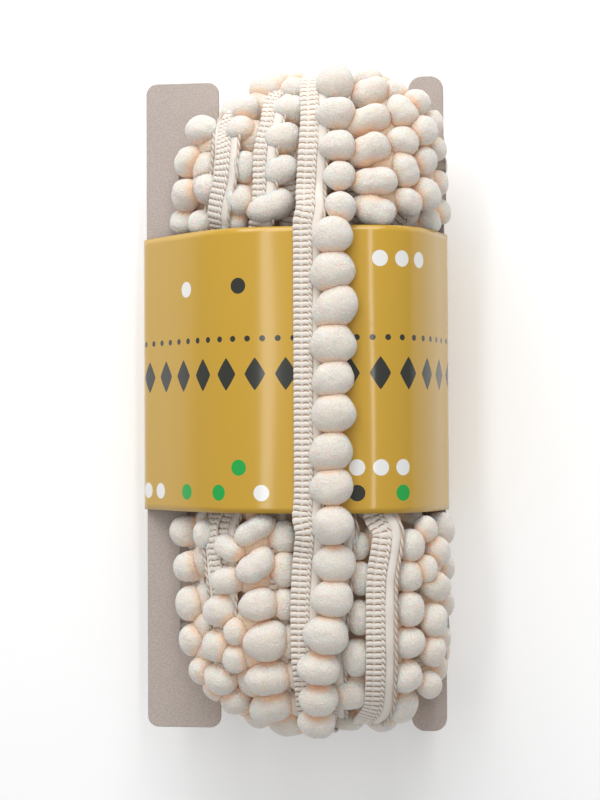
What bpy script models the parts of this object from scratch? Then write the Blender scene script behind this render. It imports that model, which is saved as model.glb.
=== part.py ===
"""Pompom fringe trim wound on a notched card and held by a paper band.

The card lies level. X runs across it, Y along its length and +Z out of its front face. The
origin is on the surface under the middle of the card, where the back of the band lies flat.
The trim goes round the card's middle bar, through the notches at its two ends. Its wound
form is one ring, with a lump for each pompom that shows. The last turn lies over the band
at the front, and is a piece of its own.
"""

import math

import bmesh
import bpy
import numpy as np

MM = 0.001
CLEAR = 0.4 * MM  # between pieces that touch

# Card
CARD_WIDTH = 125 * MM
CARD_LENGTH = 270 * MM
CARD_THICK = 1.8 * MM
CARD_LEVEL = 39 * MM  # the middle of the card's thickness above the surface
LEFT_LUG = 31 * MM
RIGHT_LUG = 14.5 * MM
NOTCH_DEPTH = 28 * MM
LUG_RADIUS = 4.6 * MM
SLIM_LUG_RADIUS = 5.6 * MM
NOTCH_RADIUS = 4 * MM
ARC_STEPS = 4

# Band
BAND_LENGTH = 113 * MM  # along the card
BAND_MIDDLE = 12.5 * MM  # from the card's middle towards its top end
BAND_ENDS = (BAND_MIDDLE - BAND_LENGTH / 2, BAND_MIDDLE + BAND_LENGTH / 2)
BAND_THICK = 1 * MM
BAND_FRONT_RISE = 41.3 * MM  # the band's outside above the middle of the card
# The outside of the band's front, from the card's left edge to its right edge: the distance
# across the card, and the height as a share of BAND_FRONT_RISE.
BAND_SECTION = (
    (-63.85, 0.000),
    (-63.0, 0.068),
    (-45.0, 0.500),
    (-30.5, 0.845),
    (-22.0, 0.955),
    (-12.0, 1.000),
    (35.0, 1.000),
    (43.0, 0.952),
    (51.0, 0.800),
    (56.6, 0.590),
    (60.6, 0.320),
    (63.0, 0.075),
    (63.85, 0.000),
)

# Wound trim
POMPOM_RISE = 6.5 * MM  # a pompom stands this far out of the wound form
POMPOM_PITCH = 15.3 * MM
SWELL = 2 * MM  # the winding is this much thicker where the band doesn't hold it
SWELL_REACH = 14 * MM
WINDING_REACH = 135.5 * MM  # the end of the winding from the middle of the card
STRAIGHT_REACH = 88 * MM  # where the winding begins to turn over the card's end
NARROWS_FROM = 106 * MM  # the winding draws in from here
NARROW_AT = 126 * MM  # and fits between the lugs from here
WINDING_EDGES = (-51.5 * MM, 59.8 * MM)  # the winding's sides at the band
RIGHT_SPREAD = 3.6 * MM  # its right side stands out this much further past the band
LEVEL_EDGES = (-12 * MM, 34 * MM)  # the level part of its front at the band
END_LEVEL_EDGES = (-6 * MM, 31 * MM)  # and where it goes through a notch
LEFT_FULLNESS = 1.5  # 2 is a quarter of an ellipse, and less is flatter
RIGHT_FULLNESS = 1.92
LUMP_STEPS = (0.2, 0.5, 0.8)  # where a pompom's lump has points, across its own cell
# The turns that show, from the left: what the strip of surface is, its width as a share of the
# way round the front, and the place of its middle on the same scale at four places down the
# front: the top end, the band's two edges, and the bottom end. Phase is the share of a pitch
# by which its pompoms are moved along.
TURN_COLUMNS = ("kind", "width", "top", "above_band", "below_band", "bottom", "phase")
TURNS = (
    ("pompoms", 0.105, 0.085, 0.075, 0.066, 0.075, 0.00),
    ("pompoms", 0.100, 0.235, 0.280, 0.170, 0.180, 0.45),
    ("pompoms", 0.098, 0.342, 0.381, 0.315, 0.284, 0.20),
    ("bed", 0.190, 0.500, 0.528, 0.510, 0.470, 0.00),
    ("pompoms", 0.092, 0.695, 0.668, 0.662, 0.648, 0.70),
    ("pompoms", 0.082, 0.784, 0.762, 0.756, 0.745, 0.35),
    ("pompoms", 0.078, 0.866, 0.848, 0.844, 0.835, 0.85),
    ("pompoms", 0.070, 0.943, 0.930, 0.930, 0.922, 0.15),
)
TURNS = tuple(dict(zip(TURN_COLUMNS, turn, strict=True)) for turn in TURNS)
BED_RISE = 0.45  # share of POMPOM_RISE by which the strip under the last turn stands out
BED_HEADING = 0.36  # share of the bed's width that is a turn's heading where it is bare
HELD_ROWS = (-0.97, -0.5, 0, 0.5, 0.97)  # rows of points under the band, as shares of its half
BAND_SPARE = 1.5 * MM  # from the band's edge to the first pompom
RISE_JITTER = 0.14
SHIFT_JITTER = 0.06  # share of a pitch

# Last turn
HEADING_WIDTH = 10.6 * MM
HEADING_THICK = 3.2 * MM
HEADING_STEP = 5.2 * MM
TURN_TAIL = 16 * MM  # its length past the middle of each end, on the way to the back
BED_SPARE = 8 * MM  # the bed goes on this much further
POMPOM_SIZE = (17.4 * MM, 14.9 * MM, 13.4 * MM)  # across, along and out
POMPOM_SIDES = 8
POMPOM_RINGS = 4
POMPOM_OFFSET = 15.4 * MM  # the pompom's middle from the heading's free edge
# Where the heading's free edge lies across the card, at four places down the front.
LAST_TURN_EDGE = {
    "top": 2.0 * MM,
    "above_band": -0.8 * MM,
    "below_band": -1.0 * MM,
    "bottom": -4.8 * MM,
}

SEED = 7


def remove_everything():
    """Starts from an empty scene."""
    for item in list(bpy.data.objects):
        bpy.data.objects.remove(item, do_unlink=True)


def material(name, colour, roughness):
    """A Principled material of one colour."""
    made = bpy.data.materials.new(name)
    made.use_nodes = True
    shader = made.node_tree.nodes["Principled BSDF"]
    shader.inputs["Base Color"].default_value = (*colour, 1)
    shader.inputs["Roughness"].default_value = roughness
    shader.inputs["Metallic"].default_value = 0
    return made


def add_object(name, mesh, finish):
    """Puts a mesh in the scene as a named object."""
    made = bpy.data.objects.new(name, mesh)
    bpy.context.scene.collection.objects.link(made)
    mesh.materials.append(finish)
    return made


def mesh_of(name, points, faces):
    """A mesh with its faces turned outwards."""
    work = bmesh.new()
    corners = [work.verts.new(point) for point in points]
    for face in faces:
        work.faces.new([corners[i] for i in face])
    bmesh.ops.recalc_face_normals(work, faces=work.faces)
    mesh = bpy.data.meshes.new(name)
    work.to_mesh(mesh)
    work.free()
    return mesh


def smooth_step(value):
    """0 below 0, 1 above 1, and a soft rise between."""
    value = np.clip(value, 0, 1)
    return value * value * (3 - 2 * value)


def blend(start, end, share):
    """The value a share of the way from start to end."""
    return start + (end - start) * share


# Card


def rounded_outline(corners):
    """The outline through (x, y, radius) corners, each rounded by an arc."""
    outline = []
    for i, (x, y, radius) in enumerate(corners):
        here = np.array([x, y])
        before = np.array(corners[i - 1][:2]) - here
        after = np.array(corners[(i + 1) % len(corners)][:2]) - here
        before /= np.linalg.norm(before)
        after /= np.linalg.norm(after)
        centre = here + (before + after) * radius
        for step in range(ARC_STEPS + 1):
            turn = step / ARC_STEPS * math.pi / 2
            outline.append(
                centre - after * radius * math.cos(turn) - before * radius * math.sin(turn)
            )
    return outline


def card():
    """A board with a wide notch at each end, which leaves four lugs."""
    side, end = CARD_WIDTH / 2, CARD_LENGTH / 2
    notch = end - NOTCH_DEPTH
    left, right = -side + LEFT_LUG, side - RIGHT_LUG
    upper = [
        (side, end, SLIM_LUG_RADIUS),
        (right, end, SLIM_LUG_RADIUS),
        (right, notch, NOTCH_RADIUS),
        (left, notch, NOTCH_RADIUS),
        (left, end, LUG_RADIUS),
        (-side, end, LUG_RADIUS),
    ]
    lower = [(x, -y, radius) for x, y, radius in reversed(upper)]
    outline = rounded_outline(upper + lower)
    count = len(outline)
    points = [
        (x, y, CARD_LEVEL + level)
        for level in (-CARD_THICK / 2, CARD_THICK / 2)
        for x, y in outline
    ]
    walls = [(i, (i + 1) % count, (i + 1) % count + count, i + count) for i in range(count)]
    lids = [tuple(range(count)), tuple(range(count, 2 * count))]
    return mesh_of("card", points, walls + lids)


# Band


def band_outline():
    """The band's outside all round, from the left edge over the front and back underneath."""
    front = [(x * MM, rise * BAND_FRONT_RISE) for x, rise in BAND_SECTION]
    back = [(x * MM, -rise * CARD_LEVEL) for x, rise in reversed(BAND_SECTION[1:-1])]
    return np.array(front + back)


def inset(outline, distance):
    """A closed outline moved inwards, corner by corner. It runs clockwise."""
    ahead = np.roll(outline, -1, axis=0) - outline
    ahead /= np.linalg.norm(ahead, axis=1)[:, None]
    inward = np.stack([ahead[:, 1], -ahead[:, 0]], axis=1)
    corner = inward + np.roll(inward, 1, axis=0)
    reach = 2 / (corner**2).sum(1)
    return outline + corner * (reach * distance)[:, None]


def paper_band():
    """The sleeve round the card and the winding."""
    outside = band_outline()
    inside = inset(outside, BAND_THICK)
    count = len(outside)
    points = [
        (x, y, CARD_LEVEL + rise)
        for y in BAND_ENDS
        for outline in (outside, inside)
        for x, rise in outline
    ]
    faces = []
    for i in range(count):
        j = (i + 1) % count
        near_out, near_in = (i, j), (i + count, j + count)
        far_out = (i + 2 * count, j + 2 * count)
        far_in = (i + 3 * count, j + 3 * count)
        for first, second in (
            (near_out, near_in),
            (near_in, far_in),
            (far_in, far_out),
            (far_out, near_out),
        ):
            faces.append((first[0], first[1], second[1], second[0]))
    return mesh_of("paper_band", points, faces)


# Wound trim


def winding_quarter(rise):
    """Half of the winding's path, from the middle of one face to the middle of an end.

    The rows hold the distance along the card, the height over the card, and the same two for
    the inner side, as the path is followed from the middle of the face.
    """
    reach = WINDING_REACH - POMPOM_RISE
    inner_rise = CARD_THICK / 2 + CLEAR + 0.1 * MM
    notch = CARD_LENGTH / 2 - NOTCH_DEPTH + CLEAR
    level = [(y, rise, y, inner_rise) for y in np.linspace(0, STRAIGHT_REACH, 12)[:-1]]
    bend = []
    for share in np.linspace(0, 1, 24):
        turn = share * math.pi / 2
        y = STRAIGHT_REACH + (reach - STRAIGHT_REACH) * math.sin(turn)
        inner_y = blend(STRAIGHT_REACH, notch, min(1, share / 0.7))
        inner = inner_rise * min(1, (1 - share) / 0.2)
        bend.append((y, rise * math.cos(turn), inner_y, inner))
    return np.array(level + bend)


def winding_path():
    """The whole path from the middle of the front, up over the top and round to the start.

    Returns the distance along it, measured half way up the pompoms, and its rows of
    (y, rise, inner y, inner rise).
    """
    front = winding_quarter(BAND_FRONT_RISE - BAND_THICK - CLEAR - POMPOM_RISE)
    back = winding_quarter(CARD_LEVEL - BAND_THICK - CLEAR - POMPOM_RISE) * [1, -1, 1, -1]
    top = np.concatenate([front, back[::-1][1:]])
    bottom = top[::-1][1:] * [-1, 1, -1, 1]
    rows = np.concatenate([top, bottom])
    spokes = rows[:, :2] - rows[:, 2:]
    spokes /= np.linalg.norm(spokes, axis=1)[:, None]
    middles = rows[:, :2] + spokes * POMPOM_RISE / 2
    steps = np.linalg.norm(np.diff(middles, axis=0), axis=1)
    return np.concatenate([[0], np.cumsum(steps)]), rows


PATH_ALONG, PATH_ROWS = winding_path()
PATH_LENGTH = PATH_ALONG[-1]


def path_at(along):
    """(y, rise, inner y, inner rise) at a distance along the path."""
    along = np.mod(along, PATH_LENGTH)
    return np.stack([np.interp(along, PATH_ALONG, PATH_ROWS[:, k]) for k in range(4)], -1)


def past_band(y):
    """How far a place along the card is past the band's edge, and less than 0 under it."""
    return np.abs(y - BAND_MIDDLE) - BAND_LENGTH / 2


def loose_share(y):
    """0 under the band, rising to 1 a little way outside it."""
    return smooth_step(past_band(y) / SWELL_REACH)


def end_share(y):
    """0 at the band, rising to 1 where the winding goes through the notch."""
    return smooth_step((np.abs(y) - NARROWS_FROM) / (NARROW_AT - NARROWS_FROM))


def by_place(y, values):
    """A value along the card, from the values at its ends and at the band's edges."""
    places = {
        "bottom": -CARD_LENGTH / 2,
        "below_band": BAND_ENDS[0],
        "above_band": BAND_ENDS[1],
        "top": CARD_LENGTH / 2,
    }
    return np.interp(y, list(places.values()), [values[place] for place in places])


def section_curve(y, reach):
    """The winding's section at a place on the path, without its pompoms.

    Returns rows of (x, distance out) and of the outward direction in the same two.
    """
    share = end_share(y)
    notch_left = -CARD_WIDTH / 2 + LEFT_LUG + 2 * CLEAR
    notch_right = CARD_WIDTH / 2 - RIGHT_LUG - 2 * CLEAR
    left = blend(WINDING_EDGES[0], notch_left, share) + POMPOM_RISE
    right = WINDING_EDGES[1] + RIGHT_SPREAD * loose_share(y)
    right = blend(right, notch_right, share) - POMPOM_RISE
    level_left = blend(LEVEL_EDGES[0], END_LEVEL_EDGES[0], share)
    level_right = blend(LEVEL_EDGES[1], END_LEVEL_EDGES[1], share)
    turn = np.linspace(0, math.pi / 2, 24)
    rising = np.stack(
        [
            level_left + (left - level_left) * np.cos(turn) ** (2 / LEFT_FULLNESS),
            reach * np.sin(turn) ** (2 / LEFT_FULLNESS),
        ],
        axis=1,
    )
    falling = np.stack(
        [
            level_right + (right - level_right) * np.sin(turn) ** (2 / RIGHT_FULLNESS),
            reach * np.cos(turn) ** (2 / RIGHT_FULLNESS),
        ],
        axis=1,
    )
    curve = np.concatenate([rising, falling])
    ahead = np.gradient(curve, axis=0)
    ahead /= np.linalg.norm(ahead, axis=1)[:, None]
    return curve, np.stack([-ahead[:, 1], ahead[:, 0]], axis=1)


def surface_point(along, across, rise):
    """A point of the winding's surface: its place along the path, across the section from 0
    at the left to 1 at the right, and how far it stands out."""
    y, top, inner_y, inner_top = path_at(along)
    inner = np.array([inner_y, inner_top])
    spoke = np.array([y, top]) - inner
    reach = np.linalg.norm(spoke)
    spoke /= reach
    if top > 0:
        reach += SWELL * loose_share(y) * smooth_step(1.6 - abs(y) / STRAIGHT_REACH)
    curve, outward = section_curve(y, reach)
    steps = np.concatenate([[0], np.cumsum(np.linalg.norm(np.diff(curve, axis=0), axis=1))])
    at = across * steps[-1]
    x, out = (np.interp(at, steps, curve[:, k]) for k in range(2))
    push_x, push_out = (np.interp(at, steps, outward[:, k]) for k in range(2))
    place = inner + spoke * max(0, out + push_out * rise)
    return (x + push_x * rise, place[0], CARD_LEVEL + place[1])


def in_bed(along):
    """Whether the last turn lies over the winding at this distance along the path."""
    from_front = min(along % PATH_LENGTH, -along % PATH_LENGTH)
    return from_front < PATH_LENGTH / 4 + TURN_TAIL + BED_SPARE


def winding_rows():
    """The rows of points round the path: the distance along, whether the band holds it, its
    share of the way along a pompom, and whether it may move along."""
    half_band = BAND_LENGTH / 2
    rows = []
    middles = (BAND_MIDDLE, PATH_LENGTH / 2 - BAND_MIDDLE, PATH_LENGTH + BAND_MIDDLE)
    for middle, following in zip(middles[:-1], middles[1:], strict=True):
        rows += [(middle + half_band * share, True, 0, False) for share in HELD_ROWS]
        start = middle + half_band + BAND_SPARE
        end = following - half_band - BAND_SPARE
        count = round((end - start) / POMPOM_PITCH)
        pitch = (end - start) / count
        for number in range(count):
            for share in (0, *LUMP_STEPS):
                free = number + share > 0
                rows.append((start + (number + share) * pitch, False, share, free))
        rows.append((end, False, 0, False))
    return rows


def winding_columns():
    """The columns of points across the section: (turn, share of its width)."""
    columns = []
    for number, turn in enumerate(TURNS):
        first = BED_HEADING if turn["kind"] == "bed" else 0
        shares = [first + (1 - first) * share for share in (0, *LUMP_STEPS, 1)]
        columns += [(number, share) for share in ([0] if first else []) + shares]
    return columns


def dome(share):
    """The height of a round lump at a share of the way across it, from 0 to 1."""
    return math.sqrt(max(0, 1 - (2 * share - 1) ** 2))


def lift_at(kind, share, row_share, bare):
    """The share of POMPOM_RISE by which a point stands out, outside the band."""
    if kind == "pompoms":
        return dome(share) * dome(row_share)
    if not bare:
        return BED_RISE
    if share <= BED_HEADING:
        return BED_RISE if share > 0 else 0
    return dome((share - BED_HEADING) / (1 - BED_HEADING)) * dome(row_share)


def column_place(turn, share, y):
    """Where a turn's column lies across the section, at a place along the card."""
    return by_place(y, turn) + (share - 0.5) * turn["width"]


def wound_trim():
    """The wound form: a ring round the card's bar, with its pompoms in rows."""
    random = np.random.default_rng(SEED)
    rows, columns = winding_rows(), winding_columns()
    lifts = 1 + RISE_JITTER * random.uniform(-1, 1, (len(TURNS), len(rows)))
    shifts = SHIFT_JITTER * random.uniform(-1, 1, (len(TURNS), len(rows)))
    points = []
    for i, (along, held, row_share, free) in enumerate(rows):
        line = []
        for j, share in columns:
            turn = TURNS[j]
            at = along
            rise = POMPOM_RISE
            if not held:
                rise *= lift_at(turn["kind"], share, row_share, not in_bed(along))
            if not held and turn["kind"] == "pompoms":
                at += free * (turn["phase"] - 0.5 + shifts[j, i]) * POMPOM_PITCH / 2
                rise *= lifts[j, i]
            y = path_at(at)[0]
            line.append(surface_point(at, column_place(turn, share, y), rise))
        line = [surface_point(along, 0, 0), *line, surface_point(along, 1, 0)]
        points.append(line)
    across = len(points[0])
    around = len(points)
    flat = [point for line in points for point in line]
    faces = []
    for i in range(around):
        after = (i + 1) % around
        for j in range(across):
            beside = (j + 1) % across
            faces.append(
                (
                    i * across + j,
                    i * across + beside,
                    after * across + beside,
                    after * across + j,
                )
            )
    return mesh_of("wound_trim", flat, faces)


# Last turn


def last_turn_frame(along):
    """The place of the last turn's underside at a distance along the path, and its
    directions across, along and out."""
    y, top, inner_y, inner_top = path_at(along)
    spoke = np.array([0, y - inner_y, top - inner_top])
    spoke /= np.linalg.norm(spoke)
    edge = by_place(y, LAST_TURN_EDGE)
    over_band = BAND_THICK + CLEAR + POMPOM_RISE
    on_winding = POMPOM_RISE * BED_RISE
    if top > 0:
        on_winding += SWELL * loose_share(y) * smooth_step(1.6 - abs(y) / STRAIGHT_REACH)
    off_band = smooth_step((past_band(y) - 2 * MM) / (16 * MM))
    out = blend(over_band, on_winding, off_band) + CLEAR
    place = np.array([edge, y, CARD_LEVEL + top]) + spoke * out
    return place, spoke


def last_turn_stations(step):
    """Distances along the path from one tail of the last turn to the other."""
    end_of_front = PATH_LENGTH / 4 + TURN_TAIL
    count = round(2 * end_of_front / step)
    return np.linspace(-end_of_front, end_of_front, count + 1)


def heading():
    """The heading as one strip of rectangular section."""
    points = []
    stations = last_turn_stations(HEADING_STEP)
    for along in stations:
        place, out = last_turn_frame(along)
        across = np.array([HEADING_WIDTH, 0, 0])
        lift = out * HEADING_THICK
        points += [place, place + across, place + across + lift, place + lift]
    faces = [(0, 1, 2, 3), tuple(range(len(points) - 4, len(points)))]
    for i in range(len(stations) - 1):
        for j in range(4):
            k = (j + 1) % 4
            faces.append((4 * i + j, 4 * i + k, 4 * i + 4 + k, 4 * i + 4 + j))
    return mesh_of("outer_turn", points, faces)


def pompoms():
    """The last turn's pompoms, as one mesh of separate balls."""
    work = bmesh.new()
    stations = last_turn_stations(POMPOM_PITCH)
    for along in (stations[1:] + stations[:-1]) / 2:
        place, out = last_turn_frame(along)
        lead = np.cross(out, [1, 0, 0])
        middle = place + np.array([POMPOM_OFFSET, 0, 0]) + out * POMPOM_SIZE[2] / 2
        ball = bmesh.ops.create_uvsphere(
            work, u_segments=POMPOM_SIDES, v_segments=POMPOM_RINGS, radius=0.5
        )["verts"]
        for corner in ball:
            x, y, z = corner.co
            corner.co = (
                middle
                + np.array([x * POMPOM_SIZE[0], 0, 0])
                + lead * y * POMPOM_SIZE[1]
                + out * z * POMPOM_SIZE[2]
            )
    mesh = bpy.data.meshes.new("outer_pompoms")
    bmesh.ops.recalc_face_normals(work, faces=work.faces)
    work.to_mesh(mesh)
    work.free()
    return mesh


def outer_turn(finish):
    """The last turn: its heading with the pompoms joined to one edge."""
    strip = add_object("outer_turn", heading(), finish)
    balls = add_object("outer_pompoms_guide", pompoms(), finish)
    balls.hide_render = True
    balls.display_type = "WIRE"
    union = strip.modifiers.new("Pompoms", "BOOLEAN")
    union.operation = "UNION"
    union.object = balls


def build():
    """Makes every piece."""
    remove_everything()
    cream = (0.86, 0.78, 0.62)
    add_object("card", card(), material("greyboard", (0.55, 0.49, 0.43), 0.9))
    add_object("wound_trim", wound_trim(), material("cream_trim", cream, 0.95))
    add_object("paper_band", paper_band(), material("gold_paper", (0.62, 0.40, 0.10), 0.45))
    outer_turn(material("cream_last_turn", cream, 0.95))


build()
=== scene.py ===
"""The looks of the pompom fringe trim wound on a card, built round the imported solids.

X runs across the card, Y along it and +Z out of its front face, in metres. The winding is a
ring round the card's middle bar. Everything wound is placed on that ring by three numbers: the
distance along its path, the share of the way across its section, and the rise out of it.
"""

import logging
import math
from dataclasses import dataclass, field
from enum import Enum

import bmesh
import bpy
import numpy as np
from mathutils import Matrix, Vector


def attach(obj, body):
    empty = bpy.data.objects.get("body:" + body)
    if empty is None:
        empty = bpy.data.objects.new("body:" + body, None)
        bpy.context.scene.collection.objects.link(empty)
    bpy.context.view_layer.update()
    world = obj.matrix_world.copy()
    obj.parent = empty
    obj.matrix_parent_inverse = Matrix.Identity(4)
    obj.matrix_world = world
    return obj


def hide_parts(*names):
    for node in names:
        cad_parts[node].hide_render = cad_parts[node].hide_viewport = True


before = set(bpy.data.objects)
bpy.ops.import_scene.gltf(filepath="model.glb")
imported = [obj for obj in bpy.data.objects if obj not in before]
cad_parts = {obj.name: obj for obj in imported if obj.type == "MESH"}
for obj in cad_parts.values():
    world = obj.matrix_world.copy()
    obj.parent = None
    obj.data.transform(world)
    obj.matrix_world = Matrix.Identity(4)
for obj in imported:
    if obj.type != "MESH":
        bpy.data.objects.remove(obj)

LOG = logging.getLogger("pompom_trim")
MM = 0.001
BODY = "root"
CARD_LEVEL = 39 * MM  # The height of the middle of the card's thickness.
BAND_LENGTH = 113 * MM  # The band's size along the card.
BAND_MIDDLE = 12.5 * MM  # Its middle from the middle of the card.
Colour = tuple[float, float, float]


# Small helpers


def smooth_step(value: np.ndarray) -> np.ndarray:
    """A soft rise from 0 to 1.

    Args:
        value: Any numbers. Those outside 0 to 1 are clipped.

    Returns:
        Three times the square less twice the cube.
    """
    value = np.clip(value, 0, 1)
    return value * value * (3 - 2 * value)


def blend(start: np.ndarray, end: np.ndarray, share: np.ndarray) -> np.ndarray:
    """The value a share of the way from start to end."""
    return start + (end - start) * share


def unit(vectors: np.ndarray) -> np.ndarray:
    """Vectors made one long, each held in the array's last axis."""
    return vectors / np.linalg.norm(vectors, axis=-1, keepdims=True)


def distances(line: np.ndarray) -> np.ndarray:
    """The distance along a line of points at each of them: the sum of the steps so far."""
    steps = np.linalg.norm(np.diff(line, axis=0), axis=1)
    return np.concatenate([[0], np.cumsum(steps)])


def rotation_about(axis: int, degrees: float) -> np.ndarray:
    """The turn about one axis.

    Args:
        axis: 0 for X, 1 for Y and 2 for Z.
        degrees: The angle.

    Returns:
        A 3 by 3 array with the angle's cosine and sine in the other two axes.
    """
    cosine, sine = math.cos(math.radians(degrees)), math.sin(math.radians(degrees))
    first, second = (axis + 1) % 3, (axis + 2) % 3
    matrix = np.eye(3)
    matrix[first, first] = matrix[second, second] = cosine
    matrix[first, second], matrix[second, first] = -sine, sine
    return matrix


# View


@dataclass(frozen=True)
class View:
    """Where the camera stands, and the picture of 600 by 800 that it sees.

    Attributes:
        place: The camera's place.
        tilt: Its turn about X, in degrees.
        turn: Its turn about Y, in degrees.
        roll: Its turn about its own line of sight, in degrees.
        focal: The distance to the picture, in the picture's steps.
        columns: The picture's width in steps.
        rows: The picture's height in steps.
    """

    place: tuple[float, float, float] = (0.0925, -0.0134, 0.7568)
    tilt: float = 1.17
    turn: float = 7.17
    roll: float = -0.26
    focal: float = 1738
    columns: int = 600
    rows: int = 800

    def rotation(self) -> np.ndarray:
        """The camera's own axes: a turn about Y, after a tilt about X, after a roll about Z."""
        parts = (rotation_about(1, self.turn), rotation_about(0, self.tilt))
        return parts[0] @ parts[1] @ rotation_about(2, self.roll)

    def picture_places(self, points: np.ndarray) -> np.ndarray:
        """Where points show in the picture.

        Args:
            points: An array whose last axis is x, y and z.

        Returns:
            An array whose last axis is the column and the row, from the top left.
        """
        seen = (points - np.array(self.place)) @ self.rotation()
        column = self.columns / 2 - self.focal * seen[..., 0] / seen[..., 2]
        row = self.rows / 2 + self.focal * seen[..., 1] / seen[..., 2]
        return np.stack([column, row], -1)

    def step_at(self, points: np.ndarray) -> np.ndarray:
        """One of the picture's steps at points: the distance ahead over the focal distance."""
        return -((points - np.array(self.place)) @ self.rotation())[..., 2] / self.focal

    def add_camera(self) -> None:
        """Adds the camera and makes it the scene's."""
        data = bpy.data.cameras.new("camera")
        data.sensor_fit = "VERTICAL"
        data.angle = 2 * math.atan(self.rows / 2 / self.focal)
        data.clip_end = 20
        camera = bpy.data.objects.new("camera", data)
        camera.location = self.place
        camera.rotation_mode = "QUATERNION"
        camera.rotation_quaternion = Matrix(self.rotation().tolist()).to_quaternion()
        bpy.context.scene.collection.objects.link(camera)
        bpy.context.scene.camera = camera


# Meshes


@dataclass
class Piece:
    """A mesh in the making.

    Attributes:
        name: The name of the object.
        points: The points, one row each.
        faces: The corners of each face, with the same number of corners in each block.
        values: Numbers kept at the points, by name.
        places: UV places at the points, in metres, or none.
        count: How many points there are so far.
    """

    name: str
    points: list[np.ndarray] = field(default_factory=list)
    faces: list[np.ndarray] = field(default_factory=list)
    values: dict[str, list[np.ndarray]] = field(default_factory=dict)
    places: list[np.ndarray] = field(default_factory=list)
    count: int = 0

    def add(
        self,
        points: np.ndarray,
        faces: np.ndarray,
        places: np.ndarray | None = None,
        **values: np.ndarray,
    ) -> None:
        """Adds one more part to the mesh.

        Args:
            points: The part's points.
            faces: Its faces, numbered from its own first point.
            places: UV places at the points, in metres.
            **values: Numbers kept at the points.
        """
        points = points.reshape(-1, 3)
        self.points.append(points)
        self.faces.append(faces + self.count)
        self.count += len(points)
        if places is not None:
            self.places.append(places.reshape(-1, 2))
        for key, numbers in values.items():
            spread = np.broadcast_to(numbers, (len(points),)).reshape(-1)
            self.values.setdefault(key, []).append(spread)

    def make(self, finish: bpy.types.Material) -> bpy.types.Object:
        """Makes the object.

        Args:
            finish: Its material.

        Returns:
            The object, smooth, in the scene and riding on the body.
        """
        mesh = bpy.data.meshes.new(self.name)
        points = np.concatenate(self.points)
        sizes = np.concatenate([np.full(len(part), part.shape[1]) for part in self.faces])
        corners = np.concatenate([part.ravel() for part in self.faces])
        mesh.vertices.add(len(points))
        mesh.vertices.foreach_set("co", points.astype(np.float32).ravel())
        mesh.loops.add(len(corners))
        mesh.loops.foreach_set("vertex_index", corners.astype(np.int32))
        mesh.polygons.add(len(sizes))
        starts = np.concatenate([[0], np.cumsum(sizes)[:-1]])
        mesh.polygons.foreach_set("loop_start", starts.astype(np.int32))
        mesh.update(calc_edges=True)
        for key, parts in self.values.items():
            attribute = mesh.attributes.new(key, "FLOAT", "POINT")
            attribute.data.foreach_set("value", np.concatenate(parts).astype(np.float32))
        if self.places:
            layer = mesh.uv_layers.new(name="places")
            spread = np.concatenate(self.places)[corners]
            layer.data.foreach_set("uv", spread.astype(np.float32).ravel())
        mesh.validate()
        mesh.polygons.foreach_set("use_smooth", np.ones(len(mesh.polygons), bool))
        mesh.materials.append(finish)
        made = bpy.data.objects.new(self.name, mesh)
        bpy.context.scene.collection.objects.link(made)
        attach(made, BODY)
        triangles = int((sizes - 2).sum())
        LOG.info("%s: %d points, %d triangles", self.name, len(points), triangles)
        return made


def grid_faces(rows: int, columns: int, round_rows: bool, round_columns: bool) -> np.ndarray:
    """The four-cornered faces of a grid of points.

    Args:
        rows: Rows of points.
        columns: Points in each row.
        round_rows: Whether the last row joins the first.
        round_columns: Whether each row's last point joins its first.

    Returns:
        One face a row. They face out where a step along the rows, then a step along the
        columns, turn left as seen from outside.
    """
    row = np.arange(rows if round_rows else rows - 1)
    column = np.arange(columns if round_columns else columns - 1)
    row, column = np.meshgrid(row, column, indexing="ij")
    after, beside = (row + 1) % rows, (column + 1) % columns
    corners = (
        row * columns + column,
        after * columns + column,
        after * columns + beside,
        row * columns + beside,
    )
    return np.stack(corners, -1).reshape(-1, 4)


def cap_faces(start: int, columns: int, turned: bool) -> np.ndarray:
    """One face that closes the end of a tube.

    Args:
        start: The number of the end's first point.
        columns: Points round the end.
        turned: Whether the face looks the other way.

    Returns:
        One face.
    """
    ring = np.arange(start, start + columns)
    return (ring[::-1] if turned else ring)[None, :]


# Winding


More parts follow.
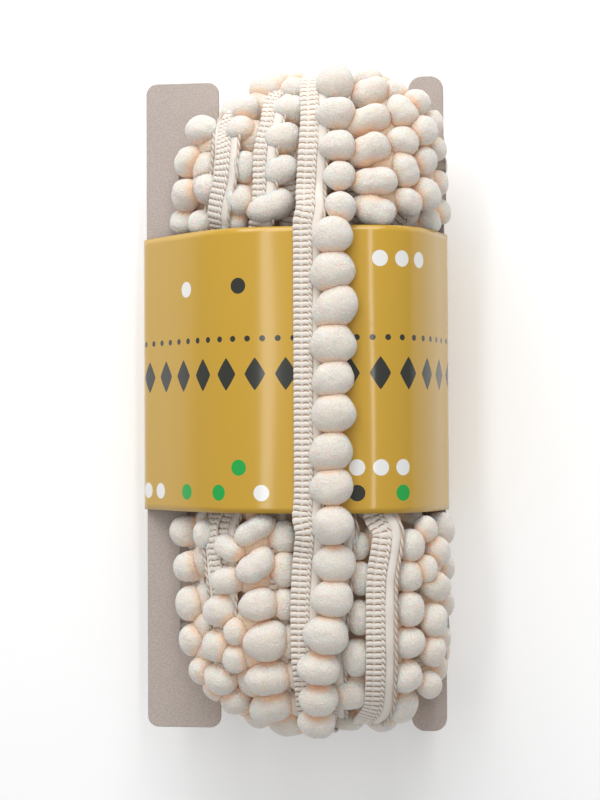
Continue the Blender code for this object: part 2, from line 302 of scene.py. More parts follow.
@dataclass
class Winding:
    """The ring that the trim is wound into, as a surface without its pompoms.

    Attributes:
        front_rise: The front of the ring over the middle of the card.
        back_rise: The back of the ring under it.
        inner_rise: The card's half thickness, where the inner side lies.
        reach: The ring's end from the middle of the card.
        notch: The foot of the notch from the middle of the card.
        straight: Where the ring begins to turn over the card's end.
        narrow: Where it begins to draw in and where it fits between the lugs.
        edges: The ring's sides at the band.
        spread: How much further the left and the right sides stand out past the band.
        spread_reach: How far from the band they have spread fully.
        notch_edges: Its sides in the notch.
        level: The level part of its front at the band.
        notch_level: The level part in the notch.
        fullness: The left and the right shoulder; 2 is a quarter of an ellipse.
        end_fullness: The ring's turn over the card's end, in the same way.
        clear: How far over the card the middles of what shows stay.
        nearness: The picture's steps that a metre nearer to the view is worth.
        swell: How much thicker it is where the band doesn't hold it.
        swell_reach: How far from the band it has swelled fully.
        depth: How deep the pompoms lie in it.
        stations: The steps of the grid along the path.
        columns: The points of the grid across the section.
        length: The length of the path, half way up the pompoms.
        y: The place along the card of each station.
        base: The surface's grid of points.
        push: The outward direction at each of them.
    """

    front_rise: float = 33.4 * MM
    back_rise: float = 31.1 * MM
    inner_rise: float = 1.4 * MM
    reach: float = 132 * MM
    notch: float = 107.4 * MM
    straight: float = 88 * MM
    narrow: tuple[float, float] = (119 * MM, 134 * MM)
    edges: tuple[float, float] = (-45 * MM, 53.3 * MM)
    spread: tuple[float, float] = (3.5 * MM, 10 * MM)
    spread_reach: float = 9 * MM
    notch_edges: tuple[float, float] = (-24.2 * MM, 40.7 * MM)
    level: tuple[float, float] = (-12 * MM, 34 * MM)
    notch_level: tuple[float, float] = (-6 * MM, 31 * MM)
    fullness: tuple[float, float] = (1.5, 1.92)
    end_fullness: float = 2.5
    clear: float = 5.5 * MM
    nearness: float = 60
    swell: float = 2 * MM
    swell_reach: float = 14 * MM
    depth: float = 6.5 * MM
    stations: int = 720
    columns: int = 161
    length: float = field(init=False)
    y: np.ndarray = field(init=False, repr=False)
    base: np.ndarray = field(init=False, repr=False)
    push: np.ndarray = field(init=False, repr=False)

    def __post_init__(self) -> None:
        """Works out the surface and its outward direction on a grid of stations and columns.

        Each station has a spoke from the card to the path, and a section set up on the spoke:
        its places across are x, and its places out are along the spoke.
        """
        rows, self.length = self.path()
        self.y, inner = rows[:, 0], rows[:, 2:]
        spoke = rows[:, :2] - inner
        reach = np.linalg.norm(spoke, axis=1)
        spoke /= reach[:, None]
        loose = smooth_step(self.past_band(self.y) / self.swell_reach)
        swell = self.swell * loose * smooth_step(1.6 - np.abs(self.y) / self.straight)
        curve = self.sections(reach + np.where(rows[:, 1] > 0, swell, 0))
        ahead = unit(np.gradient(curve, axis=1))
        outward = np.stack([-ahead[..., 1], ahead[..., 0]], -1)
        shares = np.linspace(0, 1, self.columns)
        self.base = np.empty((self.stations, self.columns, 3))
        self.push = np.empty_like(self.base)
        for i in range(self.stations):
            lengths = distances(curve[i])
            for grid, values in ((self.base, curve[i]), (self.push, outward[i])):
                x, out = (np.interp(shares * lengths[-1], lengths, part) for part in values.T)
                grid[i, :, 0] = x
                grid[i, :, 1:] = out[:, None] * spoke[i]
            self.base[i, :, 1:] += inner[i]
        self.base[..., 2] += CARD_LEVEL

    def quarter(self, rise: float) -> np.ndarray:
        """Half of the path, from the middle of one face to the middle of an end.

        Straight as far as the ring is level, and then a quarter of a superellipse.

        Args:
            rise: The height of the face over the middle of the card.

        Returns:
            Rows of the place along the card, the height, and the same two for the inner side.
        """
        level = np.linspace(0, self.straight, 30)[:-1]
        inner = np.full_like(level, self.inner_rise)
        first = np.stack([level, np.full_like(level, rise), level, inner], 1)
        share = np.linspace(0, 1, 60)
        turn = share * math.pi / 2
        power = 2 / self.end_fullness
        second = np.stack(
            [
                self.straight + (self.reach - self.straight) * np.sin(turn) ** power,
                rise * np.cos(turn).clip(0) ** power,
                blend(self.straight, self.notch, np.minimum(1, share / 0.7)),
                self.inner_rise * np.minimum(1, (1 - share) / 0.2),
            ],
            1,
        )
        return np.concatenate([first, second])

    def path(self) -> tuple[np.ndarray, float]:
        """The path at each station, evenly spaced half way up the pompoms.

        Returns:
            Rows as those of quarter, all the way round, and the whole length.
        """
        front = self.quarter(self.front_rise)
        back = self.quarter(self.back_rise) * [1, -1, 1, -1]
        top = np.concatenate([front, back[::-1][1:]])
        rows = np.concatenate([top, top[::-1][1:] * [-1, 1, -1, 1]])
        along = distances(rows[:, :2] + unit(rows[:, :2] - rows[:, 2:]) * self.depth / 2)
        places = np.arange(self.stations) * along[-1] / self.stations
        rows = np.stack([np.interp(places, along, numbers) for numbers in rows.T], 1)
        return rows, along[-1]

    def sections(self, reach: np.ndarray) -> np.ndarray:
        """The section at each station.

        A left shoulder, a level part and a right shoulder, each shoulder a quarter of a
        superellipse. The sides draw in towards the notch and spread past the band.

        Args:
            reach: The height of each section.

        Returns:
            An array of stations by points by two: the places across and out.
        """
        share = smooth_step((np.abs(self.y) - self.narrow[0]) / (self.narrow[1] - self.narrow[0]))
        free = smooth_step(self.past_band(self.y) / self.spread_reach)
        turn = np.linspace(0, math.pi / 2, 48)[None, :]
        across, out = [], []
        waves = (np.cos(turn), np.sin(turn))
        for k, (side, inward, rising) in enumerate(((-1, *waves), (1, *waves[::-1]))):
            edge = self.edges[k] + side * self.spread[k] * free
            edge = blend(edge, self.notch_edges[k], share)[:, None]
            level = blend(self.level[k], self.notch_level[k], share)[:, None]
            power = 2 / self.fullness[k]
            across.append(level + (edge - level) * inward**power)
            out.append(reach[:, None] * rising**power)
        return np.stack([np.concatenate(across, 1), np.concatenate(out, 1)], -1)

    def past_band(self, y: np.ndarray) -> np.ndarray:
        """How far places along the card are past the band's edge, less than 0 under it."""
        return np.abs(y - BAND_MIDDLE) - BAND_LENGTH / 2

    def y_at(self, along: np.ndarray) -> np.ndarray:
        """The place along the card at distances along the path."""
        stations = np.arange(self.stations) * self.length / self.stations
        return np.interp(along, stations, self.y, period=self.length)

    def sample(self, grid: np.ndarray, along: np.ndarray, across: np.ndarray) -> np.ndarray:
        """Reads a grid between its stations and columns.

        Args:
            grid: The base or the push.
            along: Distances along the path.
            across: Shares of the way across.

        Returns:
            The weighted mean of the four grid points round each place.
        """
        i = np.mod(along, self.length) / self.length * self.stations
        j = np.clip(across, 0, 1) * (self.columns - 1)
        low_i = np.floor(i).astype(int) % self.stations
        low_j = np.minimum(np.floor(j).astype(int), self.columns - 2)
        part_i = (i - np.floor(i))[..., None]
        part_j = (j - low_j)[..., None]
        high_i = (low_i + 1) % self.stations
        near = blend(grid[low_i, low_j], grid[low_i, low_j + 1], part_j)
        far = blend(grid[high_i, low_j], grid[high_i, low_j + 1], part_j)
        return blend(near, far, part_i)

    def points(self, along: np.ndarray, across: np.ndarray, rise: np.ndarray) -> np.ndarray:
        """Points on or over the surface.

        Args:
            along: Distances along the path.
            across: Shares of the way across the section.
            rise: How far the points stand out.

        Returns:
            The points, in metres.
        """
        rise = np.asarray(rise)[..., None]
        push = self.sample(self.push, along, across)
        return self.sample(self.base, along, across) + push * rise

    def directions(self, along: np.ndarray, across: np.ndarray) -> np.ndarray:
        """The directions across, along and out at places on the surface.

        Args:
            along: Distances along the path.
            across: Shares of the way across.

        Returns:
            An array whose last two axes hold the three directions, one a row.
        """
        step = 1.5 * MM
        ahead = self.sample(self.base, along + step, across)
        ahead = ahead - self.sample(self.base, along - step, across)
        out = unit(self.sample(self.push, along, across))
        ahead = unit(ahead - out * (ahead * out).sum(-1, keepdims=True))
        return np.stack([np.cross(ahead, out), ahead, out], -2)

    def seen_at(
        self, view: View, read: np.ndarray, rises: np.ndarray
    ) -> tuple[np.ndarray, np.ndarray]:
        """Where on the winding readings from a picture lie, each at its own rise.

        Args:
            view: The view of the picture.
            read: Rows that begin with a column and a row of the picture.
            rises: How far each one's point stands out of the surface.

        Returns:
            The distances along, less than 0 below the middle, and the shares across, of the
            nearest grid points among those that face the view. Of two about as near in the
            picture, the one nearer to the view is taken.
        """
        reach = self.stations // 4 + 20
        rows = np.arange(-reach, reach + 1)
        base, push = self.base[rows % self.stations], self.push[rows % self.stations]
        best = []
        for place, rise in zip(read[:, :2], rises, strict=True):
            points = base + push * rise
            apart = np.linalg.norm(view.picture_places(points) - place, axis=-1)
            toward = np.array(view.place) - points
            hidden = (toward * push).sum(-1) <= 0
            apart += self.nearness * np.linalg.norm(toward, axis=-1)
            apart += 1e4 * (hidden | (points[..., 2] < CARD_LEVEL + self.clear))
            best.append(apart.argmin())
        row, column = np.divmod(np.array(best), self.columns)
        return rows[row] * self.length / self.stations, column / (self.columns - 1)


# Pompoms


@dataclass(frozen=True)
class Pompoms:
    """Felted pompoms, each a little drawn out towards the heading.

    Attributes:
        squareness: The power of the superellipsoid; 2 is an ellipsoid.
        depth: Its size outwards over the mean of its width and height.
        taper: How much thinner it is towards the heading.
        long_from: From which width over height one begins to be long, and how much more it
            takes for a fully long one.
        bend: How far the ends of a long one bend along.
        saddle: How much thinner a long one is in the middle.
        lumps: The depth of the unevenness, as a share of the half size.
        lump_waves: The scale of each of its waves over the ball, and its weight.
        tufts: The depth of the fine unevenness.
        tuft_waves: The scale of each of its waves.
        crease: How near another pompom the felt gets its painted crease shade.
        shaded: How deep in the winding the felt begins to get painted shade, and over which
            distance.
    """

    squareness: float = 2.3
    depth: float = 0.96
    taper: float = 0.22
    long_from: tuple[float, float] = (1.1, 0.4)
    bend: float = 0.18
    saddle: float = 0.13
    lumps: float = 0.045
    lump_waves: tuple[tuple[float, float], ...] = ((1.7, 1), (2.6, 0.8), (4.1, 0.35), (6.3, 0.12))
    tufts: float = 0.0025
    tuft_waves: tuple[float, ...] = (11, 13, 15)
    crease: float = 4.5 * MM
    shaded: tuple[float, float] = (2 * MM, 6 * MM)

    @staticmethod
    def ball(steps: int) -> tuple[np.ndarray, np.ndarray]:
        """A ball of squares: a cube's six grids, joined at the edges and pushed out.

        Args:
            steps: The squares along each edge of the cube.

        Returns:
            Its points, one long, and its faces.
        """
        line = np.arange(steps + 1)
        first, second = (grid.ravel() for grid in np.meshgrid(line, line, indexing="ij"))
        squares = grid_faces(steps + 1, steps + 1, False, False)
        corners, faces = [], []
        for axis in range(3):
            for level in (0, steps):
                corner = np.roll(
                    np.stack([np.full_like(first, level), first, second], 1), axis, axis=1
                )
                faces.append((squares if level else squares[:, ::-1]) + len(first) * len(corners))
                corners.append(corner)
        joined, place = np.unique(np.concatenate(corners), axis=0, return_inverse=True)
        points = np.tan((joined / steps - 0.5) * math.pi / 2)
        return unit(points), place.ravel()[np.concatenate(faces)]

    def shape(
        self, ball: np.ndarray, ratio: np.ndarray, random: np.random.Generator
    ) -> np.ndarray:
        """The form of each pompom, in its own directions: away from the heading, along, out.

        The ball is pushed to a superellipsoid and thinned towards the heading. A long one is
        bent like a bean and has a saddle. A sum of sine waves over the ball, other for each
        pompom, makes it uneven.

        Args:
            ball: The ball's points.
            ratio: The width over the height of each pompom.
            random: The source of the unevenness.

        Returns:
            An array of pompoms by points by three, one half size long.
        """
        power = self.squareness
        form = ball * ((np.abs(ball) ** power).sum(1) ** (-1 / power))[:, None]
        count = len(ratio)
        form = np.repeat(form[None], count, axis=0)
        lengthwise = form[..., 0].copy()
        long = np.clip((ratio - self.long_from[0]) / self.long_from[1], 0, 1)[:, None]
        dent = self.saddle * long * np.exp(-((lengthwise / 0.35) ** 2))
        thin = self.taper * smooth_step((-lengthwise - 0.1) / 0.9)
        form[..., 1:] *= (1 - thin - dent)[..., None]
        bend = self.bend * (0.3 + long) * random.uniform(-1, 1, (count, 1))
        form[..., 1] += bend * (lengthwise**2 - 0.4)
        waves = [(scale, weight * self.lumps) for scale, weight in self.lump_waves]
        waves += [(scale, self.tufts) for scale in self.tuft_waves]
        depth = np.zeros((count, len(ball)))
        for scale, weight in waves:
            wave = unit(random.normal(size=(count, 3))) * scale
            phase = random.uniform(0, 2 * math.pi, (count, 1))
            depth += weight * np.sin(wave @ ball.T + phase)
        return form * (1 + depth)[..., None]

    def recesses(self, points: np.ndarray, own: np.ndarray, crowd: np.ndarray) -> np.ndarray:
        """How deep each point of one pompom lies in the creases between it and the others.

        Args:
            points: The pompom's points.
            own: Its middle and its radius.
            crowd: The same of all the pompoms.

        Returns:
            1 where the nearest other pompom touches, down to 0 a crease's width away: the mask of
            the felt's painted crease shade.
        """
        apart = np.linalg.norm(crowd[:, :3] - own[:3], axis=1)
        near = (apart < crowd[:, 3] + own[3] + self.crease) & (apart > 1 * MM)
        if not near.any():
            return np.zeros(len(points))
        others = crowd[near]
        gap = np.linalg.norm(points[:, None] - others[None, :, :3], axis=-1) - others[:, 3]
        return 1 - smooth_step(gap.min(1) / self.crease)

    def add_to(
        self,
        piece: Piece,
        winding: Winding,
        places: np.ndarray,
        side: int,
        fineness: int,
        crowd: np.ndarray,
        random: np.random.Generator,
    ) -> None:
        """Adds pompoms to a piece.

        Args:
            piece: The piece.
            winding: The surface that they lie on.
            places: Rows of the distance along, share across, rise, width, height and lean.
            side: 1 where they lie to the right of the heading, and -1 to the left.
            fineness: The squares along each edge of the ball's cube.
            crowd: The middle and the radius of every pompom.
            random: The source of the unevenness.
        """
        if not len(places):
            return
        ball, faces = self.ball(fineness)
        count = len(places)
        along, across, rise, width, height, lean = places.T
        form = self.shape(ball, width / height, random)
        form[..., 0] *= side
        sizes = np.stack([width, height, self.depth * (width + height) / 2], 1)
        form *= sizes[:, None] / 2
        cosine, sine = np.cos(lean)[:, None], np.sin(lean)[:, None]
        x, y = form[..., 0].copy(), form[..., 1].copy()
        form[..., 0] = x * cosine - y * sine
        form[..., 1] = x * sine + y * cosine
        middles = winding.points(along, across, rise)
        points = middles[:, None] + form @ winding.directions(along, across)
        own = np.column_stack([middles, (width + height) / 4])
        # Painted shade mask: near 1 in the creases between pompoms and deep in the winding, where
        # the felt is painted warm and given a glow.
        recess = np.stack([self.recesses(points[i], own[i], crowd) for i in range(count)])
        under = -rise[:, None] - form[..., 2]
        deep = smooth_step((under - self.shaded[0]) / self.shaded[1])
        recess = np.maximum(recess, deep)
        offsets = np.arange(count)[:, None, None] * len(ball)
        corners = (faces[None] + offsets).reshape(-1, 4)
        if side < 0:
            corners = corners[:, ::-1]
        tone = np.repeat(random.uniform(0, 1, count), len(ball))
        piece.add(points, corners, tone=tone, recess=recess.ravel())


# Heading


@dataclass(frozen=True)
class Strip:
    """A line on the winding with its directions, along which the heading's parts are made.

    Attributes:
        places: The points of the line.
        axes: The directions across, along and out at each point.
        lengths: The distance along the line.
    """

    places: np.ndarray
    axes: np.ndarray
    lengths: np.ndarray

    @staticmethod
    def on(
        winding: Winding, along: np.ndarray, across: np.ndarray, rise: np.ndarray
    ) -> "Strip":
        """A strip that follows a line on the winding.

        Args:
            winding: The surface.
            along: Distances along the path.
            across: Shares of the way across.
            rise: How far the line stands out.

        Returns:
            The strip, its directions square to the line.
        """
        places = winding.points(along, across, rise)
        out = winding.directions(along, across)[:, 2]
        ahead = unit(np.gradient(places, axis=0))
        out = unit(out - ahead * (out * ahead).sum(1, keepdims=True))
        axes = np.stack([np.cross(ahead, out), ahead, out], 1)
        return Strip(places, axes, distances(places))

    def sweep(
        self, piece: Piece, sideways: np.ndarray, outward: np.ndarray, **values: np.ndarray
    ) -> None:
        """Adds a tube that follows the strip.

        Args:
            piece: The piece to add it to.
            sideways: Rows of the section's places across, one row a point of the line.
            outward: The same for its places out.
            **values: Numbers kept at the points, in the same rows.
        """
        points = (
            self.places[:, None]
            + sideways[..., None] * self.axes[:, None, 0]
            + outward[..., None] * self.axes[:, None, 2]
        )
        rows, columns = sideways.shape
        walls = grid_faces(rows, columns, False, True)
        piece.add(points, walls, **{key: value.ravel() for key, value in values.items()})
        first = piece.count - rows * columns
        piece.faces.append(cap_faces(first, columns, True))
        piece.faces.append(cap_faces(piece.count - columns, columns, False))


@dataclass(frozen=True)
class Braid:
    """The heading's braid: columns of fat bars with thin gaps between the rows.

    Attributes:
        widths: The width of each column, from the ribbon's far side.
        row: The distance from row to row.
        thick: The height of the bars over the underside.
        flatness: The share of that height that is the same across a column.
        gap: The depth of the gaps.
        gap_parts: How much of it a narrow dip and the roundness of the bars make up.
        gap_width: The half width of the dip, as a share of half a row.
        smile: How far each bar bends along, as a share of the row.
        slant: How far the bars of the twisted edge lean along, as a share of the row.
        scallop: How far the bars stand out at the braid's outer edge.
        steps_in_row: Points along each row, in the fine braid.
        steps_in_column: Points across each column.
    """

    widths: tuple[float, ...] = (3.4 * MM, 3.0 * MM, 1.3 * MM)
    row: float = 2.35 * MM
    thick: float = 1.9 * MM
    flatness: float = 0.62
    gap: float = 0.55 * MM
    gap_parts: tuple[float, float] = (0.7, 0.8)
    gap_width: float = 0.3
    smile: float = 0.16
    slant: float = 0.3
    scallop: float = 0.35 * MM
    steps_in_row: int = 6
    steps_in_column: int = 7

    @property
    def width(self) -> float:
        """The braid's whole width."""
        return sum(self.widths)

    def add_to(self, piece: Piece, strip: Strip, side: int, steps_in_column: int) -> None:
        """Adds the braid along a strip, centred on it.

        Each column is an arc across. A gap is a narrow dip at each half row, less deep at the
        column's sides, so that the bars stay joined there. The last column is a twisted
        edge, whose gaps run slantwise. Five points make the underside.

        Args:
            piece: The piece.
            strip: The line that it follows.
            side: 1 where the twisted edge is on the right, and -1 on the left.
            steps_in_column: Points across each column.
        """
        rows = len(strip.places)
        start = -self.width / 2
        spots, heights, gaps, phases = [], [], [], []
        for number, width in enumerate(self.widths):
            local = np.linspace(-1, 1, steps_in_column, endpoint=False)[None, :]
            local = local + 1 / steps_in_column
            last = number == len(self.widths) - 1
            lean = self.slant * local if last else self.smile * local**2
            phase = strip.lengths[:, None] / self.row + lean
            from_gap = np.abs(phase - np.round(phase)) * 2
            joined = 1 if last else 1 - 0.7 * smooth_step((np.abs(local) - 0.6) / 0.4)
            dip = np.exp(-((from_gap / self.gap_width) ** 2)) * joined
            arc = np.sqrt(1 - 0.9 * local**2)
            bar = 1 - np.sqrt(1 - 0.9 * (1 - from_gap) ** 2)
            height = self.thick * blend(arc, 1, self.flatness)
            height = height - self.gap * (self.gap_parts[0] * dip + self.gap_parts[1] * bar)
            spot = start + width * (local + 1) / 2
            scallop = self.scallop * from_gap * (number == 0) * (local < -0.5)
            spots.append(spot + np.broadcast_to(-scallop, (rows, steps_in_column)))
            heights.append(height)
            # The gap mask for the thread's painted shade: full in the middle of a column, less
            # towards its sides where the bars join.
            gaps.append(np.broadcast_to(joined, dip.shape))
            phases.append(phase)
            start += width
        half = self.width / 2 * side
        under = np.array([1, 0.96, 0, -0.96, -1]) * half
        under_rise = np.array([0.7, 0.1, 0, 0.1, 0.7]) * MM
        spots = [spot * side for spot in spots]
        parts = ((spots, under), (heights, under_rise), (gaps, 0.2), (phases, 0))
        sideways, outward, dark, phase = (
            np.concatenate([*above, np.broadcast_to(below, (rows, 5))], 1)[:, ::side]
            for above, below in parts
        )
        strip.sweep(piece, sideways, outward, gap=dark, row=phase)


@dataclass(frozen=True)
class Ribbon:
    """The smooth satin strip between the braid and the pompoms.

    Attributes:
        width: Its width.
        thick: Its thickness.
        bulge: How far its middle stands out.
        overlap: How far it lies under the braid.
        rise: Its underside over the strip.
        ripples: The depths and the lengths of its ripples.
        steps: Points across it.
    """

    width: float = 4.0 * MM
    thick: float = 0.7 * MM
    bulge: float = 0.6 * MM
    overlap: float = 0.5 * MM
    rise: float = 0.2 * MM
    ripples: tuple[tuple[float, float], ...] = ((0.25 * MM, 6.1 * MM), (0.15 * MM, 2.3 * MM))
    steps: int = 5

    def add_to(self, piece: Piece, strip: Strip, side: int, braid: float) -> None:
        """Adds the ribbon along a strip: a parabola across, raised by sine waves along.

        Args:
            piece: The piece.
            strip: The line that it follows, in the middle of the braid.
            side: 1 where it is to the right of the braid, and -1 to the left.
            braid: The width of the braid.
        """
        middle = side * (braid / 2 + self.width / 2 - self.overlap)
        local = np.linspace(-1, 1, self.steps)
        top = self.rise + self.thick + self.bulge * (1 - local**2)
        spots = np.concatenate([local, local[::-1]]) * self.width / 2 + middle
        heights = np.concatenate([top, np.full(self.steps, self.rise)])
        rows = len(strip.places)
        wave = sum(depth * np.sin(strip.lengths / length) for depth, length in self.ripples)
        outward = np.tile(heights, (rows, 1)) + wave[:, None]
        none = np.zeros_like(outward)
        strip.sweep(piece, np.tile(spots, (rows, 1)), outward, gap=none, row=none)


@dataclass(frozen=True)
class Cord:
    """The twisted cord that the pompoms hang from.

    Attributes:
        radius: Its greatest radius.
        pressed: How far its oval is drawn in and out, as a share of the radius.
        lay: The distance along one full twist of its two strands.
        apart: How far its middle is from the ribbon's edge.
        rise: Its middle over the strip.
        sides: Points round it.
    """

    radius: float = 0.85 * MM
    pressed: float = 0.22
    lay: float = 3.2 * MM
    apart: float = 0.1 * MM
    rise: float = 1.2 * MM
    sides: int = 9

    def add_to(self, piece: Piece, strip: Strip, side: int, edge: float) -> None:
        """Adds the cord along a strip.

        The section is a circle pressed to an oval that turns once a lay, so that the two
        strands show as a twist.

        Args:
            piece: The piece.
            strip: The line that it follows, in the middle of the braid.
            side: 1 where it is to the right of the braid, and -1 to the left.
            edge: How far the ribbon's edge is from that line.
        """
        middle = side * (edge + self.apart)
        round_it = -np.arange(self.sides) * 2 * math.pi / self.sides
        twist = strip.lengths[:, None] * 2 * math.pi / self.lay
        oval = np.cos(2 * round_it[None] - twist)
        radius = self.radius * (1 - self.pressed + self.pressed * oval)
        sideways = middle + radius * np.cos(round_it)
        outward = self.rise + radius * np.sin(round_it)
        none = np.zeros_like(outward)
        # The gap mask paints shade where the oval is drawn in, between the two strands.
        strip.sweep(piece, sideways, outward, gap=0.62 - 0.3 * oval, row=none)


# Turns


class Place(Enum):
    """How a turn passes the band."""

    UNDER = "under"
    OVER = "over"


@dataclass(frozen=True)
class Turn:
    """One turn of the trim round the card.

    Attributes:
        name: Its name.
        side: 1 where the pompoms lie to the right of the heading, and -1 to the left.
        above: Its pompoms that show above the band, from the band outwards. Each is the
            column and the row of its middle, its width and height in the picture's steps,
            and its lean in degrees.
        below: The same below the band.
        heading: Where the middle of its braid shows, from the top down, and how far the
            heading's underside stands out of the winding there, in millimetres.
        rise: How far the middles of its pompoms stand out, above and below.
        crown: How much further they stand out at the upper end.
        crown_rows: The row where that begins, and how many rows up it is full.
        ribbon: The width of its ribbon.
        columns: The widths of its braid's columns.
        shows: Whether its heading shows above and below the band, and so is fine there.
        passes: How it passes the band.
    """

    name: str
    side: int
    above: tuple[tuple[float, ...], ...]
    below: tuple[tuple[float, ...], ...]
    heading: tuple[tuple[float, float, float], ...]
    rise: tuple[float, float] = (-1 * MM, -1 * MM)
    crown: float = 0
    crown_rows: tuple[float, float] = (165, 50)
    ribbon: float = 4.0 * MM
    columns: tuple[float, ...] = (3.3 * MM, 3.1 * MM, 1.3 * MM)
    shows: tuple[bool, bool] = (False, False)
    passes: Place = Place.UNDER


